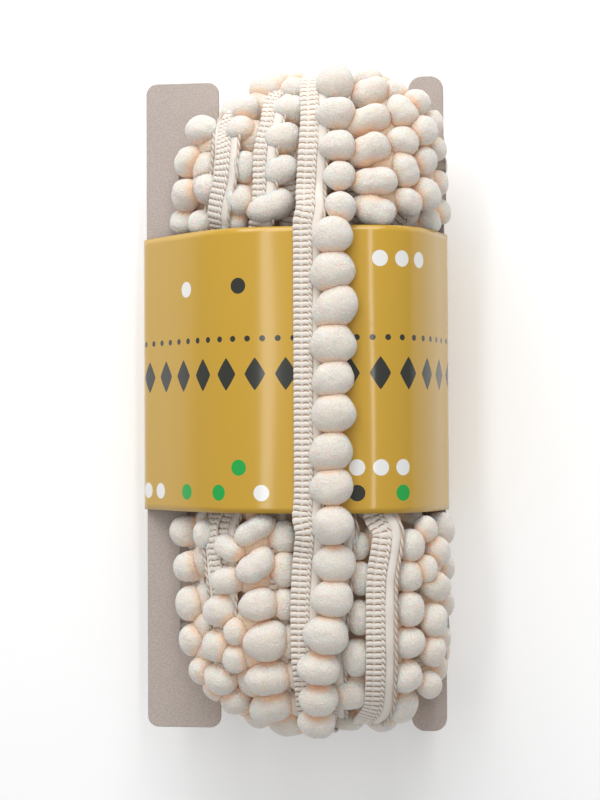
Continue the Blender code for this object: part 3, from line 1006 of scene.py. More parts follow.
TURNS = (
    Turn(
        name="turn_1",
        side=-1,
        above=(
            (183, 225, 30, 33, 45), (203, 223, 28, 28, 0), (187, 195, 36, 30, 40),
            (210, 188, 26, 26, 0), (190, 162, 35, 29, 40), (202, 129, 38, 33, 0),
        ),
        below=(
            (187, 531, 34, 31, 40), (206, 533, 26, 30, 0), (191, 566, 38, 32, 20),
            (192, 603, 35, 33, 15), (194, 638, 30, 33, 0), (203, 670, 32, 30, -20),
            (214, 694, 32, 28, -30),
        ),
        heading=(
            (226, 125, -4), (225, 150, -2.5), (222, 195, -2.5), (218, 225, -3),
            (218.5, 515, -0.5), (219.5, 586, -1), (223, 640, -4),
        ),
        ribbon=2 * MM,
        columns=(2.4 * MM, 2.4 * MM, 1.6 * MM),
        shows=(True, True),
    ),
    Turn(
        name="turn_2",
        side=1,
        above=(
            (235, 225, 30, 28, 0), (241, 201, 32, 32, 20), (245, 168, 26, 31, 0),
            (241, 129, 31, 28, 0), (246, 109, 30, 24, 0),
        ),
        below=(
            (230, 547, 38, 27, -20), (228, 580, 36, 29, 10), (220, 612, 40, 33, 15),
            (237, 630, 28, 30, 0), (218, 645, 37, 32, 0), (235, 659, 28, 28, 0),
            (221, 678, 38, 32, -10), (236, 699, 32, 30, -30),
        ),
        heading=(
            (229, 125, -3), (225, 148, 1.5), (223, 175, 2.5), (220, 192, 2.5), (218, 221, 2.5),
            (190, 520, -5), (212, 660, -5),
        ),
        columns=(1.9 * MM, 1.9 * MM, 1.9 * MM, 1.5 * MM),
        shows=(True, False),
    ),
    Turn(
        name="turn_3",
        side=1,
        above=(
            (271, 206, 47, 33, 20), (279, 171, 39, 31, 20), (282, 139, 38, 29, 15),
            (291, 111, 38, 28, 0), (294, 91, 34, 26, 0),
        ),
        below=(
            (254, 530, 45, 28, 30), (255, 566, 46, 32, 35), (257, 605, 40, 34, 20),
            (266, 641, 46, 40, 10), (269, 677, 47, 36, 5), (271, 706, 46, 34, 0),
        ),
        heading=(
            (277, 96, -1), (268, 123, 1), (261, 152, 1.5), (260, 169, 1.5), (259, 192, 1.5),
            (258, 215, 1.5), (228, 520, -3), (226, 600, -2.5), (225, 690, -2),
        ),
        columns=(2.1 * MM, 2.1 * MM, 1.2 * MM),
        shows=(True, True),
    ),
    Turn(
        name="turn_4",
        side=1,
        above=(),
        below=(
            (283, 537, 30, 33, 0), (285, 570, 28, 34, 0), (285, 605, 28, 33, 0),
            (291, 640, 28, 33, 0), (296, 673, 28, 32, 0), (298, 702, 30, 30, 0),
        ),
        heading=((292, 98, -6), (290, 232, -6), (268, 520, -6), (272, 640, -6)),
        rise=(-4 * MM, -4 * MM),
    ),
    Turn(
        name="turn_5",
        side=1,
        above=(
            (376, 210, 46, 34, 12), (374, 181, 50, 31, 5), (368, 151, 48, 32, 25),
            (366, 121, 47, 29, 20), (369, 94, 38, 27, 0), (367, 78, 32, 27, 0),
        ),
        below=(
            (358, 545, 26, 29, 0), (359, 579, 30, 34, 0), (360, 617, 29, 35, 0),
            (357, 656, 32, 38, 0), (349, 692, 38, 34, 10), (347, 717, 38, 30, 0),
        ),
        heading=(
            (348, 100, -6), (350, 230, -6), (336, 516, 0), (334, 550, 0), (331, 590, 0),
            (326, 645, -1),
        ),
        rise=(0.5 * MM, -3.5 * MM),
        shows=(False, True),
    ),
    Turn(
        name="turn_6",
        side=1,
        above=(
            (407, 202, 33, 26, -25), (405, 170, 37, 28, -65), (402, 141, 33, 28, -30),
            (401, 112, 36, 27, -50), (395, 90, 32, 24, -20),
        ),
        below=(
            (409, 545, 32, 33, 0), (408, 576, 31, 32, 0), (408, 609, 31, 34, 0),
            (407, 643, 35, 31, 10), (405, 676, 37, 32, 15), (402, 708, 36, 36, 10),
        ),
        heading=(
            (380, 100, -6), (388, 225, -6), (374.2, 517, 2), (375.4, 578, 2), (376.6, 625, 2),
            (376.2, 656, 1.5), (375, 702, 0),
        ),
        crown=3 * MM,
        columns=(3.2 * MM, 3.2 * MM, 1.4 * MM),
        shows=(False, True),
    ),
    Turn(
        name="turn_7",
        side=1,
        above=(
            (428, 222, 28, 26, 0), (426, 194, 35, 28, -55), (424, 161, 28, 29, 0),
            (423, 131, 30, 29, -30), (416, 102, 28, 25, -50),
        ),
        below=(
            (425, 529, 26, 28, 0), (436, 550, 33, 27, -60), (425, 570, 24, 28, 0),
            (434, 586, 35, 28, -30), (433, 621, 29, 35, 0), (431, 652, 26, 32, 0),
            (428, 685, 24, 28, 0),
        ),
        heading=((405, 110, -6), (412, 225, -6), (408, 520, -6), (415, 640, -6)),
        rise=(0 * MM, 1 * MM),
        crown=4 * MM,
    ),
    Turn(
        name="turn_8",
        side=1,
        above=(
            (439, 212, 24, 26, 0), (436, 183, 24, 26, 0), (434, 149, 22, 26, 0),
            (432, 122, 22, 25, -30),
        ),
        below=(
            (441, 529, 29, 34, 0), (441, 567, 27, 30, 0), (440, 603, 27, 32, 0),
            (439, 638, 22, 28, 0), (436, 670, 22, 28, 0),
        ),
        heading=((428, 120, -6), (432, 225, -6), (432, 520, -6), (432, 640, -6)),
        rise=(-2 * MM, -2 * MM),
        crown=4.5 * MM,
    ),
    Turn(
        name="outer_turn",
        side=1,
        above=(
            (333, 379, 46, 40, 27), (333.5, 343, 47, 41, 24), (333.5, 307, 47, 41, 28),
            (333, 271, 46, 41, 24), (333, 235, 42, 39, 20), (339, 205, 33, 31, 0),
            (339, 176, 33, 31, 0), (336, 146, 39, 31, 0), (335, 114, 40, 31, 0),
            (335, 83, 37, 37, 0),
        ),
        below=(
            (332.5, 415, 46, 41, 26), (332, 452, 47, 41, 28), (331.5, 488, 45, 40, 24),
            (332.5, 525, 43, 40, 14), (334, 562, 42, 38, 5), (331, 598, 44, 39, 5),
            (325, 634, 46, 41, 5), (320, 669, 43, 35, 0), (317, 699, 41, 34, 0),
            (317, 721, 38, 30, 0),
        ),
        heading=(
            (310, 84, 3.3), (309.8, 117, 3.3), (307.3, 163, 3.3), (305, 198, 3.3),
            (304, 221, 3.3), (304, 380, 3.3), (305, 500, 3.3), (303, 562, 3.3),
            (300.5, 609, 3.3), (300, 633, 3), (301, 664, 2.5), (304, 685, 1.5),
        ),
        rise=(6.2 * MM, 6.2 * MM),
        passes=Place.OVER,
    ),
)


@dataclass(frozen=True)
class Trim:
    """The wound trim, turn by turn.

    Attributes:
        winding: The surface that it lies on.
        view: The view in which the turns' places were read.
        felt: The material of the pompoms.
        thread: The material of the heading.
        pitch: The distance from pompom to pompom.
        past_end: How far along past the middle of an end the fine parts go.
        tail: How far along past the middle of an end the outer turn goes.
        softening: How far to each side the heading's corners are rounded.
        under_band: How far the headings run under the band.
        over_band: How much higher the outer turn lies on the band.
        over_slope: Where past the band it begins to come down, and over which distance.
        sink: How much deeper a turn under the band lies there.
        sink_slope: Where past the band it begins to come up, and over which distance.
        outer_width: The width of the outer turn's heading when flat; not used.
        fineness: The ball's squares along an edge, for pompoms in front and behind.
        behind_size: The mean width and height of the pompoms behind.
        behind_reach: The least and the most share across of the pompoms behind.
        inner_size: The width and height of the deeper turns' pompoms.
        inner_rise: The lowest and the highest rise of their middles.
        inner_columns: Their shares across, column by column.
        inner_gap: How far from the band the first of them are.
        core_rise: The rise of the ground under the turns.
        core_ribs: The depth and the pitch of its ribs.
    """

    winding: Winding
    view: View
    felt: bpy.types.Material
    thread: bpy.types.Material
    pitch: float = 15.5 * MM
    past_end: float = 24 * MM
    tail: float = 16 * MM
    softening: float = 9 * MM
    under_band: float = 5 * MM
    over_band: float = 4.6 * MM
    over_slope: tuple[float, float] = (2 * MM, 16 * MM)
    sink: float = 2.5 * MM
    sink_slope: tuple[float, float] = (-2 * MM, 9 * MM)
    outer_width: float = 13.5 * MM
    fineness: tuple[int, int] = (14, 6)
    behind_size: tuple[float, float] = (15.5 * MM, 14.2 * MM)
    behind_reach: tuple[float, float] = (0.1, 0.86)
    inner_size: tuple[float, float] = (16 * MM, 14.5 * MM)
    inner_rise: tuple[float, float] = (-8.5 * MM, -6.5 * MM)
    inner_columns: tuple[float, ...] = (0.14, 0.33, 0.52, 0.71, 0.9)
    inner_gap: float = 4 * MM
    core_rise: float = -6 * MM
    core_ribs: tuple[float, float] = (0.5 * MM, 4.7 * MM)

    def lift(self, along: np.ndarray, turn: Turn) -> np.ndarray:
        """How much higher a turn lies than it would on the bare winding.

        A turn over the band is higher there by the band and the flattened pompoms, and comes
        down softly on either side. A turn under the band sinks towards it.

        Args:
            along: Distances along the path.
            turn: The turn.

        Returns:
            The added rise.
        """
        past = self.winding.past_band(self.winding.y_at(along))
        if turn.passes is Place.OVER:
            front = np.cos(along / self.winding.length * 2 * math.pi) > 0
            off = smooth_step((past - self.over_slope[0]) / self.over_slope[1])
            return np.where(front, self.over_band * (1 - off), 0)
        held = 1 - smooth_step((past - self.sink_slope[0]) / self.sink_slope[1])
        return -self.sink * held

    def pompom_places(self, turn: Turn) -> tuple[np.ndarray, np.ndarray]:
        """Where a turn's pompoms are.

        Those that show are where they were read and as large. From the last one at each end
        the rest go on round the back, evenly spaced.

        Args:
            turn: The turn.

        Returns:
            Two arrays, for those in front and those behind, of rows of the distance along,
            share across, rise, width, height and lean.
        """
        read = np.array(turn.above[::-1] + turn.below, float)
        is_above = read[:, 1] < self.view.rows / 2
        rise = np.where(is_above, *turn.rise)
        first, rows = turn.crown_rows
        rise = rise + turn.crown * smooth_step((first - read[:, 1]) / rows)
        along, across = self.winding.seen_at(self.view, read, rise)
        rise = rise + self.lift(along, turn)
        along, across = self.winding.seen_at(self.view, read, rise)
        step = self.view.step_at(self.winding.points(along, across, rise))
        lean = np.radians(read[:, 4])
        front = np.stack([along, across, rise, read[:, 2] * step, read[:, 3] * step, lean], 1)
        if turn.passes is Place.OVER:
            return front, front[:0]
        start = along.max() if turn.above else self.winding.length * 0.2
        start_across = across[along.argmax()]
        gap = self.winding.length + along.min() - start
        count = round(gap / self.pitch)
        share = np.arange(1, count) / count
        behind_along = start + share * gap
        behind_across = blend(start_across, across[along.argmin()], smooth_step(share))
        behind_across = behind_across.clip(*self.behind_reach)
        behind_rise = blend(*turn.rise, smooth_step(share)) + self.lift(behind_along, turn)
        random = np.random.default_rng(sum(turn.name.encode()))
        wide, high = (size * random.uniform(0.92, 1.08, len(share)) for size in self.behind_size)
        lean = random.uniform(-0.4, 0.4, len(share))
        behind = np.stack([behind_along, behind_across, behind_rise, wide, high, lean], 1)
        behind = behind[~self.under_back_band(behind_along)]
        near = np.minimum(behind[:, 0] - start, start + gap - behind[:, 0]) < 2.5 * self.pitch
        return np.concatenate([front, behind[near]]), behind[~near]

    def heading_path(self, turn: Turn) -> tuple[np.ndarray, np.ndarray, np.ndarray]:
        """The line of the middle of a turn's braid.

        It keeps its place across from the last reading at each end, and sinks, until it is
        well round the card's end. At the back it lies on the winding again.

        Args:
            turn: The turn.

        Returns:
            The distances along, the shares across and the rises, from the lowest up.
        """
        read = np.array(turn.heading, float)
        low = read[:, 2] * MM
        along, across = self.winding.seen_at(self.view, read, low)
        lifted = low + self.lift(along, turn)
        along, across = self.winding.seen_at(self.view, read, lifted)
        order = np.argsort(along)
        along, across, low = along[order], across[order], low[order]
        held = self.winding.length / 4 + self.past_end
        sunk = np.array([low[0] if turn.passes is Place.OVER else -5 * MM])
        back = np.array([self.winding.length / 2])
        along = np.concatenate([[-held], along, [held], back])
        mean = (across[:1] + across[-1:]) / 2
        across = np.concatenate([across[:1], across, across[-1:], mean])
        return along, across, np.concatenate([sunk, low, sunk, [0]])

    def under_back_band(self, along: np.ndarray) -> np.ndarray:
        """Whether places lie under the band at the back.

        Args:
            along: Distances along the path.

        Returns:
            True where the band would hide them.
        """
        from_back = np.abs(np.mod(along, self.winding.length) - self.winding.length / 2)
        past = self.winding.past_band(self.winding.y_at(along))
        return (from_back < self.winding.length / 4) & (past < -1 * MM)

    def heading_lines(self, turn: Turn) -> list[tuple[np.ndarray, bool]]:
        """The stretches of a turn's heading, as distances along the path.

        Args:
            turn: The turn.

        Returns:
            Each stretch with whether it is fine. Under the band there is none.
        """
        length = self.winding.length
        end = length / 4 + (self.tail if turn.passes is Place.OVER else self.past_end)
        fine, coarse = Braid.row / Braid.steps_in_row, Braid.row / 3
        if turn.passes is Place.OVER:
            return [(np.arange(-end, end, fine), True)]
        edge = BAND_LENGTH / 2 - self.under_band
        above, below = edge + BAND_MIDDLE, edge - BAND_MIDDLE
        shows_above, shows_below = turn.shows
        return [
            (np.arange(above, end, fine if shows_above else coarse), shows_above),
            (np.arange(end, length / 2 - above, coarse), False),
            (np.arange(length / 2 + below, length - end, coarse), False),
            (np.arange(length - end, length - below, fine if shows_below else coarse), shows_below),
        ]

    def build_turn(
        self, turn: Turn, number: int, crowd: np.ndarray
    ) -> list[bpy.types.Object]:
        """Makes the pieces of one turn.

        Args:
            turn: The turn.
            number: Its number, which seeds its unevenness.
            crowd: The middle and the radius of every pompom.

        Returns:
            Its heading and its pompoms.
        """
        random = np.random.default_rng(100 + number)
        balls = Piece(f"{turn.name}_pompoms")
        for places, fineness in zip(self.pompom_places(turn), self.fineness, strict=True):
            Pompoms().add_to(balls, self.winding, places, turn.side, fineness, crowd, random)
        along, across, low = self.heading_path(turn)
        period = self.winding.length
        braid = Braid(widths=turn.columns)
        heading = Piece(f"{turn.name}_heading")
        for line, fine in self.heading_lines(turn):
            where = np.mod(line + period / 2, period) - period / 2
            side_way = self.smoothed(where, along, across)
            rise = self.smoothed(where, along, low) + self.lift(line, turn)
            strip = Strip.on(self.winding, line, side_way, rise)
            braid.add_to(heading, strip, turn.side, braid.steps_in_column if fine else 4)
            Ribbon(width=turn.ribbon).add_to(heading, strip, turn.side, braid.width)
            if fine:
                Cord().add_to(heading, strip, turn.side, braid.width / 2 + turn.ribbon)
        return [heading.make(self.thread), balls.make(self.felt)]

    def smoothed(
        self, where: np.ndarray, along: np.ndarray, values: np.ndarray
    ) -> np.ndarray:
        """Reads a table of values along the path, with its corners rounded.

        Args:
            where: The distances along at which to read.
            along: The distances along of the table.
            values: The table's values.

        Returns:
            The weighted mean of the straight-line readings up to a softening away.
        """
        shifts = np.linspace(-1, 1, 9)
        weights = 1 + np.cos(shifts * math.pi)
        total = np.zeros_like(where)
        for shift, weight in zip(shifts, weights, strict=True):
            at = where + shift * self.softening
            total += weight * np.interp(at, along, values, period=self.winding.length)
        return total / weights.sum()

    def inner_places(self) -> np.ndarray:
        """Where the pompoms of the deeper turns are, that show between the outer ones.

        Returns:
            Rows as those of pompom_places, on a staggered grid above and below the band.
        """
        random = np.random.default_rng(7)
        reach = BAND_LENGTH / 2 + self.inner_gap
        quarter = self.winding.length / 4
        spans = (
            np.arange(BAND_MIDDLE + reach, quarter, self.pitch),
            np.arange(BAND_MIDDLE - reach, -quarter, -self.pitch),
        )
        along = np.concatenate(spans)
        across = np.array(self.inner_columns)
        shift = self.pitch / 2 * (np.arange(len(across)) % 2)
        along = (along[:, None] + shift).ravel()
        across = np.tile(across, len(along) // len(across))
        count = len(along)
        along = along + self.pitch * random.uniform(-0.1, 0.1, count)
        rise = random.uniform(*self.inner_rise, count) + 0.5 * self.lift(along, TURNS[0])
        lean = random.uniform(-0.5, 0.5, count)
        wide, high = (np.full(count, size) for size in self.inner_size)
        return np.stack([along, across, rise, wide, high, lean], 1)

    def build_core(self) -> bpy.types.Object:
        """Makes the ground under the turns: the deeper turns, whose braid shows as ribs.

        The ribs are a cosine along the path. A sine across by a slow cosine along makes them
        uneven, and the inner side runs straight from edge to edge.

        Returns:
            The piece.
        """
        along = np.linspace(0, self.winding.length, 360, endpoint=False)
        across = np.linspace(0, 1, 48)
        along_grid, across_grid = np.meshgrid(along, across, indexing="ij")
        depth, pitch = self.core_ribs
        ribs = depth * np.cos(along_grid / pitch * math.pi)
        waves = 0.8 * MM * np.sin(across_grid * 48) * np.cos(along_grid / (21 * MM))
        rise = self.core_rise + ribs + waves
        rise = np.where(np.minimum(across_grid, 1 - across_grid) < 0.005, 0, rise)
        outer = self.winding.points(along_grid, across_grid, rise)
        floor = self.winding.points(along_grid[:, [-1, 0]], across_grid[:, [-1, 0]], 0)
        inner = blend(floor[:, :1], floor[:, 1:], np.linspace(0, 1, 4)[None, :, None])
        points = np.concatenate([outer, inner[:, 1:-1]], 1)
        piece = Piece("wound_core")
        faces = grid_faces(points.shape[0], points.shape[1], True, True)
        # A gap mask of 0.8 paints the whole ground mostly in the thread's gap shade, for the shade
        # deep under the outer turns.
        piece.add(points, faces, gap=np.float64(0.8), row=np.float64(0))
        return piece.make(self.thread)

    def build(self) -> None:
        """Makes the whole trim."""
        core = self.build_core()
        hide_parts("wound_trim")
        places = np.concatenate([part for turn in TURNS for part in self.pompom_places(turn)])
        inner = self.inner_places()
        LOG.info("pompoms: %d and %d inner ones", len(places), len(inner))
        middles = self.winding.points(*np.concatenate([places, inner])[:, :3].T)
        radii = np.concatenate([places, inner])[:, 3:5].sum(1) / 4
        crowd = np.column_stack([middles, radii])
        random = np.random.default_rng(99)
        deeper = Piece("inner_pompoms")
        Pompoms().add_to(deeper, self.winding, inner, 1, 6, crowd, random)
        deeper.make(self.felt)
        for number, turn in enumerate(TURNS):
            heading, balls = self.build_turn(turn, number, crowd)
            if turn.passes is Place.OVER:
                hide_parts("outer_turn")


# Band and card


@dataclass(frozen=True)
class Band:
    """The printed paper sleeve round the card and the winding.

    Attributes:
        thick: The paper's thickness.
        inset: How far the sleeve lies inside its section in front.
        steps: The points round it and along it.
        rises: The front's and the back's greatest height over the middle of the card.
        section: The front's outside from edge to edge: the place across the card, in
            millimetres, and the height as a share of the greatest.
    """

    thick: float = 0.4 * MM
    inset: float = 0.4 * MM
    steps: tuple[int, int] = (240, 47)
    rises: tuple[float, float] = (41.3 * MM, 39 * MM)
    section: tuple[tuple[float, float], ...] = (
        (-63.85, 0.000), (-63.0, 0.060), (-52.0, 0.345), (-42.0, 0.580), (-33.0, 0.768),
        (-25.0, 0.893), (-17.0, 0.964), (-8.0, 0.996), (2.0, 1.003), (28.0, 1.003),
        (37.0, 0.985), (44.0, 0.935), (50.5, 0.825), (56.0, 0.630), (60.4, 0.350),
        (63.0, 0.075), (63.85, 0.000),
    )

    def half(self, rise: float) -> np.ndarray:
        """One face's outline from the left fold to the right, smoothed by cutting corners.

        Args:
            rise: The face's greatest height, less than 0 for the back.

        Returns:
            Rows of x and z.
        """
        line = np.array([(x * MM, share * rise) for x, share in self.section])
        for _ in range(3):
            near = blend(line[:-1], line[1:], 0.25)
            far = blend(line[:-1], line[1:], 0.75)
            inner = np.stack([near, far], 1).reshape(-1, 2)[1:-1]
            line = np.concatenate([line[:1], inner, line[-1:]])
        return line

    def outline(self, steps: int) -> tuple[np.ndarray, np.ndarray]:
        """The whole section, in even steps, from the left fold over the front.

        Args:
            steps: How many points.

        Returns:
            The points and the distance round at each.
        """
        back = self.half(-self.rises[1])[::-1]
        line = np.concatenate([self.half(self.rises[0]), back[1:]])
        lengths = distances(line)
        at = np.arange(steps) * lengths[-1] / steps
        points = np.stack([np.interp(at, lengths, numbers) for numbers in line.T], 1)
        return points, at

    def build(self, finish: bpy.types.Material) -> bpy.types.Object:
        """Makes the sleeve.

        A grid of the section's points by rows along the card, the outside and the inside.
        Small waves run along it where it spans the winding's lumps.

        Args:
            finish: The printed paper.

        Returns:
            The piece.
        """
        steps, rows = self.steps
        section, round_it = self.outline(steps)
        ahead = unit(np.roll(section, -1, 0) - np.roll(section, 1, 0))
        outward = np.stack([-ahead[:, 1], ahead[:, 0]], 1)
        y = np.linspace(-0.5, 0.5, rows)[:, None] * BAND_LENGTH + BAND_MIDDLE
        x = section[None, :, 0]
        front = smooth_step(section[None, :, 1] / (12 * MM))
        wave = 0.03 * MM * np.sin(x / (4.6 * MM) + y / (37 * MM))
        wave = wave + 0.02 * MM * np.sin(x / (3.4 * MM) - y / (23 * MM) + 1.7)
        wave = (wave - self.inset) * front
        layers = []
        for depth in (0, self.thick):
            shift = wave - depth
            z = CARD_LEVEL + section[None, :, 1] + outward[None, :, 1] * shift
            places = (x + outward[None, :, 0] * shift, np.broadcast_to(y, shift.shape), z)
            layers.append(np.stack(places, -1))
        ring = np.concatenate([layers[0], layers[1][::-1]])
        places = np.stack(np.broadcast_arrays(round_it[None, :], y), -1)
        places = np.concatenate([places, places[::-1]])
        piece = Piece("paper_sleeve")
        piece.add(ring, grid_faces(2 * rows, steps, True, True), places=places)
        made = piece.make(finish)
        edges = bmesh.new()
        edges.from_mesh(made.data)
        bmesh.ops.recalc_face_normals(edges, faces=edges.faces)
        edges.to_mesh(made.data)
        edges.free()
        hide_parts("paper_band")
        return made


@dataclass(frozen=True)
class Card:
    """The greyboard card with a wide notch at each end.

    Attributes:
        width: Its width.
        length: Its length.
        thick: Its thickness.
        lugs: The widths of the left and the right lugs.
        notch: The depth of the notches.
        radii: The corners of the left lugs, the right lugs and the notches.
        wear: The size of the soft edge.
        arc_steps: The steps of each corner's arc.
    """

    width: float = 125 * MM
    length: float = 270 * MM
    thick: float = 1.8 * MM
    lugs: tuple[float, float] = (31 * MM, 14.5 * MM)
    notch: float = 28 * MM
    radii: tuple[float, float, float] = (4.6 * MM, 5.6 * MM, 4 * MM)
    wear: float = 0.35 * MM
    arc_steps: int = 10

    def outline(self) -> np.ndarray:
        """The card's outline, counterclockwise, with each corner an arc.

        Returns:
            Rows of x and y.
        """
        side, end = self.width / 2, self.length / 2
        notch = end - self.notch
        left, right = -side + self.lugs[0], side - self.lugs[1]
        wide, slim, inner = self.radii
        upper = [
            (side, end, slim),
            (right, end, slim),
            (right, notch, inner),
            (left, notch, inner),
            (left, end, wide),
            (-side, end, wide),
        ]
        corners = upper + [(x, -y, radius) for x, y, radius in reversed(upper)]
        turn = np.linspace(0, math.pi / 2, self.arc_steps + 1)[:, None]
        arcs = []
        for i, (x, y, radius) in enumerate(corners):
            here = np.array([x, y])
            before = unit(np.array(corners[i - 1][:2]) - here)
            after = unit(np.array(corners[(i + 1) % len(corners)][:2]) - here)
            centre = here + (before + after) * radius
            arcs.append(centre - radius * (after * np.cos(turn) + before * np.sin(turn)))
        return np.concatenate(arcs)

    def build(self, finish: bpy.types.Material) -> bpy.types.Object:
        """Makes the card: the outline at five levels, drawn in at the faces for a soft edge.

        Args:
            finish: The board.

        Returns:
            The piece.
        """
        outline = self.outline()
        ahead = unit(np.roll(outline, -1, 0) - np.roll(outline, 1, 0))
        inward = np.stack([-ahead[:, 1], ahead[:, 0]], 1)
        half = self.thick / 2
        levels = (
            (-half, self.wear),
            (-half + 0.3 * self.wear, 0.3 * self.wear),
            (-half + self.wear, 0),
            (half - self.wear, 0),
            (half - 0.3 * self.wear, 0.3 * self.wear),
            (half, self.wear),
        )
        rings = []
        for rise, inset in levels:
            ring = outline + inward * inset
            rings.append(np.column_stack([ring, np.full(len(ring), CARD_LEVEL + rise)]))
        points = np.stack(rings)
        piece = Piece("greyboard")
        count = len(outline)
        walls = grid_faces(len(levels), count, False, True)[:, ::-1]
        piece.add(points, walls)
        piece.faces.append(cap_faces(0, count, True))
        piece.faces.append(cap_faces((len(levels) - 1) * count, count, False))
        made = piece.make(finish)
        flat = np.zeros(len(made.data.polygons), bool)
        flat[:-2] = True
        made.data.polygons.foreach_set("use_smooth", flat)
        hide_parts("card")
        return made


# Materials


@dataclass(frozen=True)
class Graph:
    """A short way to build a node tree.

    Attributes:
        tree: A material's tree or a group's.
    """

    tree: bpy.types.NodeTree

    def node(self, kind: str, **settings: object) -> bpy.types.Node:
        """Adds a node.

        Args:
            kind: Its type, without the leading ShaderNode.
            **settings: Its own settings by name.

        Returns:
            The node.
        """
        made = self.tree.nodes.new(f"ShaderNode{kind}")
        for key, value in settings.items():
            setattr(made, key, value)
        return made

    def feed(self, socket: bpy.types.NodeSocket, value: object) -> None:
        """Gives an input a value or a link.

        Args:
            socket: The input.
            value: A number, a colour or another node's output.
        """
        if isinstance(value, bpy.types.NodeSocket):
            self.tree.links.new(value, socket)
        elif isinstance(value, tuple) and len(value) == 3 and len(socket.default_value) == 4:
            socket.default_value = (*value, 1)
        else:
            socket.default_value = value

    def math(
        self, kind: str, first: object, second: object = 0.0, third: object = 0.0
    ) -> bpy.types.NodeSocket:
        """Adds a sum on numbers.

        Args:
            kind: The operation.
            first: The first number or output.
            second: The second.
            third: The third, where the operation has one.

        Returns:
            The result.
        """
        made = self.node("Math", operation=kind)
        for socket, value in zip(made.inputs, (first, second, third), strict=True):
            self.feed(socket, value)
        return made.outputs[0]

    def noise(self, where: object, scale: object, detail: object = 2.0) -> bpy.types.NodeSocket:
        """Adds a noise.

        Args:
            where: The coordinates.
            scale: Its scale, in one over metres.
            detail: Its detail.

        Returns:
            The noise's value.
        """
        made = self.node("TexNoise")
        for name, value in (("Vector", where), ("Scale", scale), ("Detail", detail)):
            self.feed(made.inputs[name], value)
        return made.outputs["Fac"]

    def ramp(self, value: bpy.types.NodeSocket, low: float, high: float) -> bpy.types.NodeSocket:
        """Stretches a number smoothly, so that low and less give 0, and high and more give 1.

        Args:
            value: The number.
            low: What gives 0.
            high: What gives 1.

        Returns:
            The stretched number.
        """
        made = self.node("MapRange", interpolation_type="SMOOTHSTEP")
        for name, number in (("Value", value), ("From Min", low), ("From Max", high)):
            self.feed(made.inputs[name], number)
        return made.outputs["Result"]

    def mix(self, share: object, first: object, second: object) -> bpy.types.NodeSocket:
        """Mixes two colours.

        Args:
            share: 0 for the first and 1 for the second.
            first: The first colour.
            second: The second colour.

        Returns:
            The mixed colour.
        """
        made = self.node("Mix", data_type="RGBA")
        for place, value in ((0, share), (6, first), (7, second)):
            self.feed(made.inputs[place], value)
        return made.outputs[2]

    def attribute(self, name: str) -> bpy.types.NodeSocket:
        """A number that is kept at the piece's points."""
        return self.node("Attribute", attribute_name=name).outputs["Fac"]

    def grain(
        self,
        detail: tuple[float, float],
        bump: tuple[float, float],
        added: object = 0.0,
    ) -> tuple[bpy.types.NodeSocket, bpy.types.NodeSocket]:
        """Places the fine grain on Object coordinates.

        Args:
            detail: The noise's scale and detail.
            bump: What a height of 1 stands for, in metres, and the share of the effect.
            added: A height that is added to the noise's.

        Returns:
            The noise's value and the bumpy normal.
        """
        made = self.node("Group", node_tree=fine_grain_group())
        given = (self.node("TexCoord").outputs["Object"], *detail, *bump, added)
        for socket, value in zip(made.inputs, given, strict=True):
            self.feed(socket, value)
        return made.outputs["Value"], made.outputs["Normal"]


def new_group(
    name: str, given: tuple[str, ...], results: tuple[str, ...], vectors: tuple[str, ...] = ()
) -> tuple[bpy.types.NodeTree, Graph, object, object]:
    """An empty node group.

    Args:
        name: Its name.
        given: The names of its inputs.
        results: The names of its outputs.
        vectors: Which of them are vectors. The others are numbers.

    Returns:
        The group, its graph, the sockets that bring its inputs and those that take its outputs.
    """
    tree = bpy.data.node_groups.new(name, "ShaderNodeTree")
    for names, way in ((given, "INPUT"), (results, "OUTPUT")):
        for key in names:
            kind = "NodeSocketVector" if key in vectors else "NodeSocketFloat"
            tree.interface.new_socket(key, in_out=way, socket_type=kind)
    graph = Graph(tree)
    brought = tree.nodes.new("NodeGroupInput").outputs
    taken = tree.nodes.new("NodeGroupOutput").inputs
    return tree, graph, brought, taken


def fine_grain_group() -> bpy.types.NodeTree:
    """The group behind the fibres of every finish: a noise, and a bump of it and a height.

    Returns:
        The group, built once. It gives the noise's value and the normal.
    """
    name = "fine_grain"
    if name in bpy.data.node_groups:
        return bpy.data.node_groups[name]
    given = ("Where", "Scale", "Detail", "Distance", "Strength", "Added")
    tree, graph, brought, taken = new_group(name, given, ("Value", "Normal"), ("Where", "Normal"))
    value = graph.noise(brought["Where"], brought["Scale"], brought["Detail"])
    bump = graph.node("Bump")
    graph.feed(bump.inputs["Height"], graph.math("ADD", value, brought["Added"]))
    graph.feed(bump.inputs["Distance"], brought["Distance"])
    graph.feed(bump.inputs["Strength"], brought["Strength"])
    graph.feed(taken["Value"], value)
    graph.feed(taken["Normal"], bump.outputs["Normal"])
    return tree


def new_material(
    name: str, values: dict[str, float | Colour]
) -> tuple[bpy.types.Material, Graph, bpy.types.NodeInputs]:
    """A material with its graph and its Principled shader's inputs.

    Args:
        name: Its name.
        values: The shader's plain values, by input.

    Returns:
        The three.
    """
    made = bpy.data.materials.new(name)
    made.use_nodes = True
    graph = Graph(made.node_tree)
    inputs = made.node_tree.nodes["Principled BSDF"].inputs
    for key, value in values.items():
        graph.feed(inputs[key], value)
    return made, graph, inputs


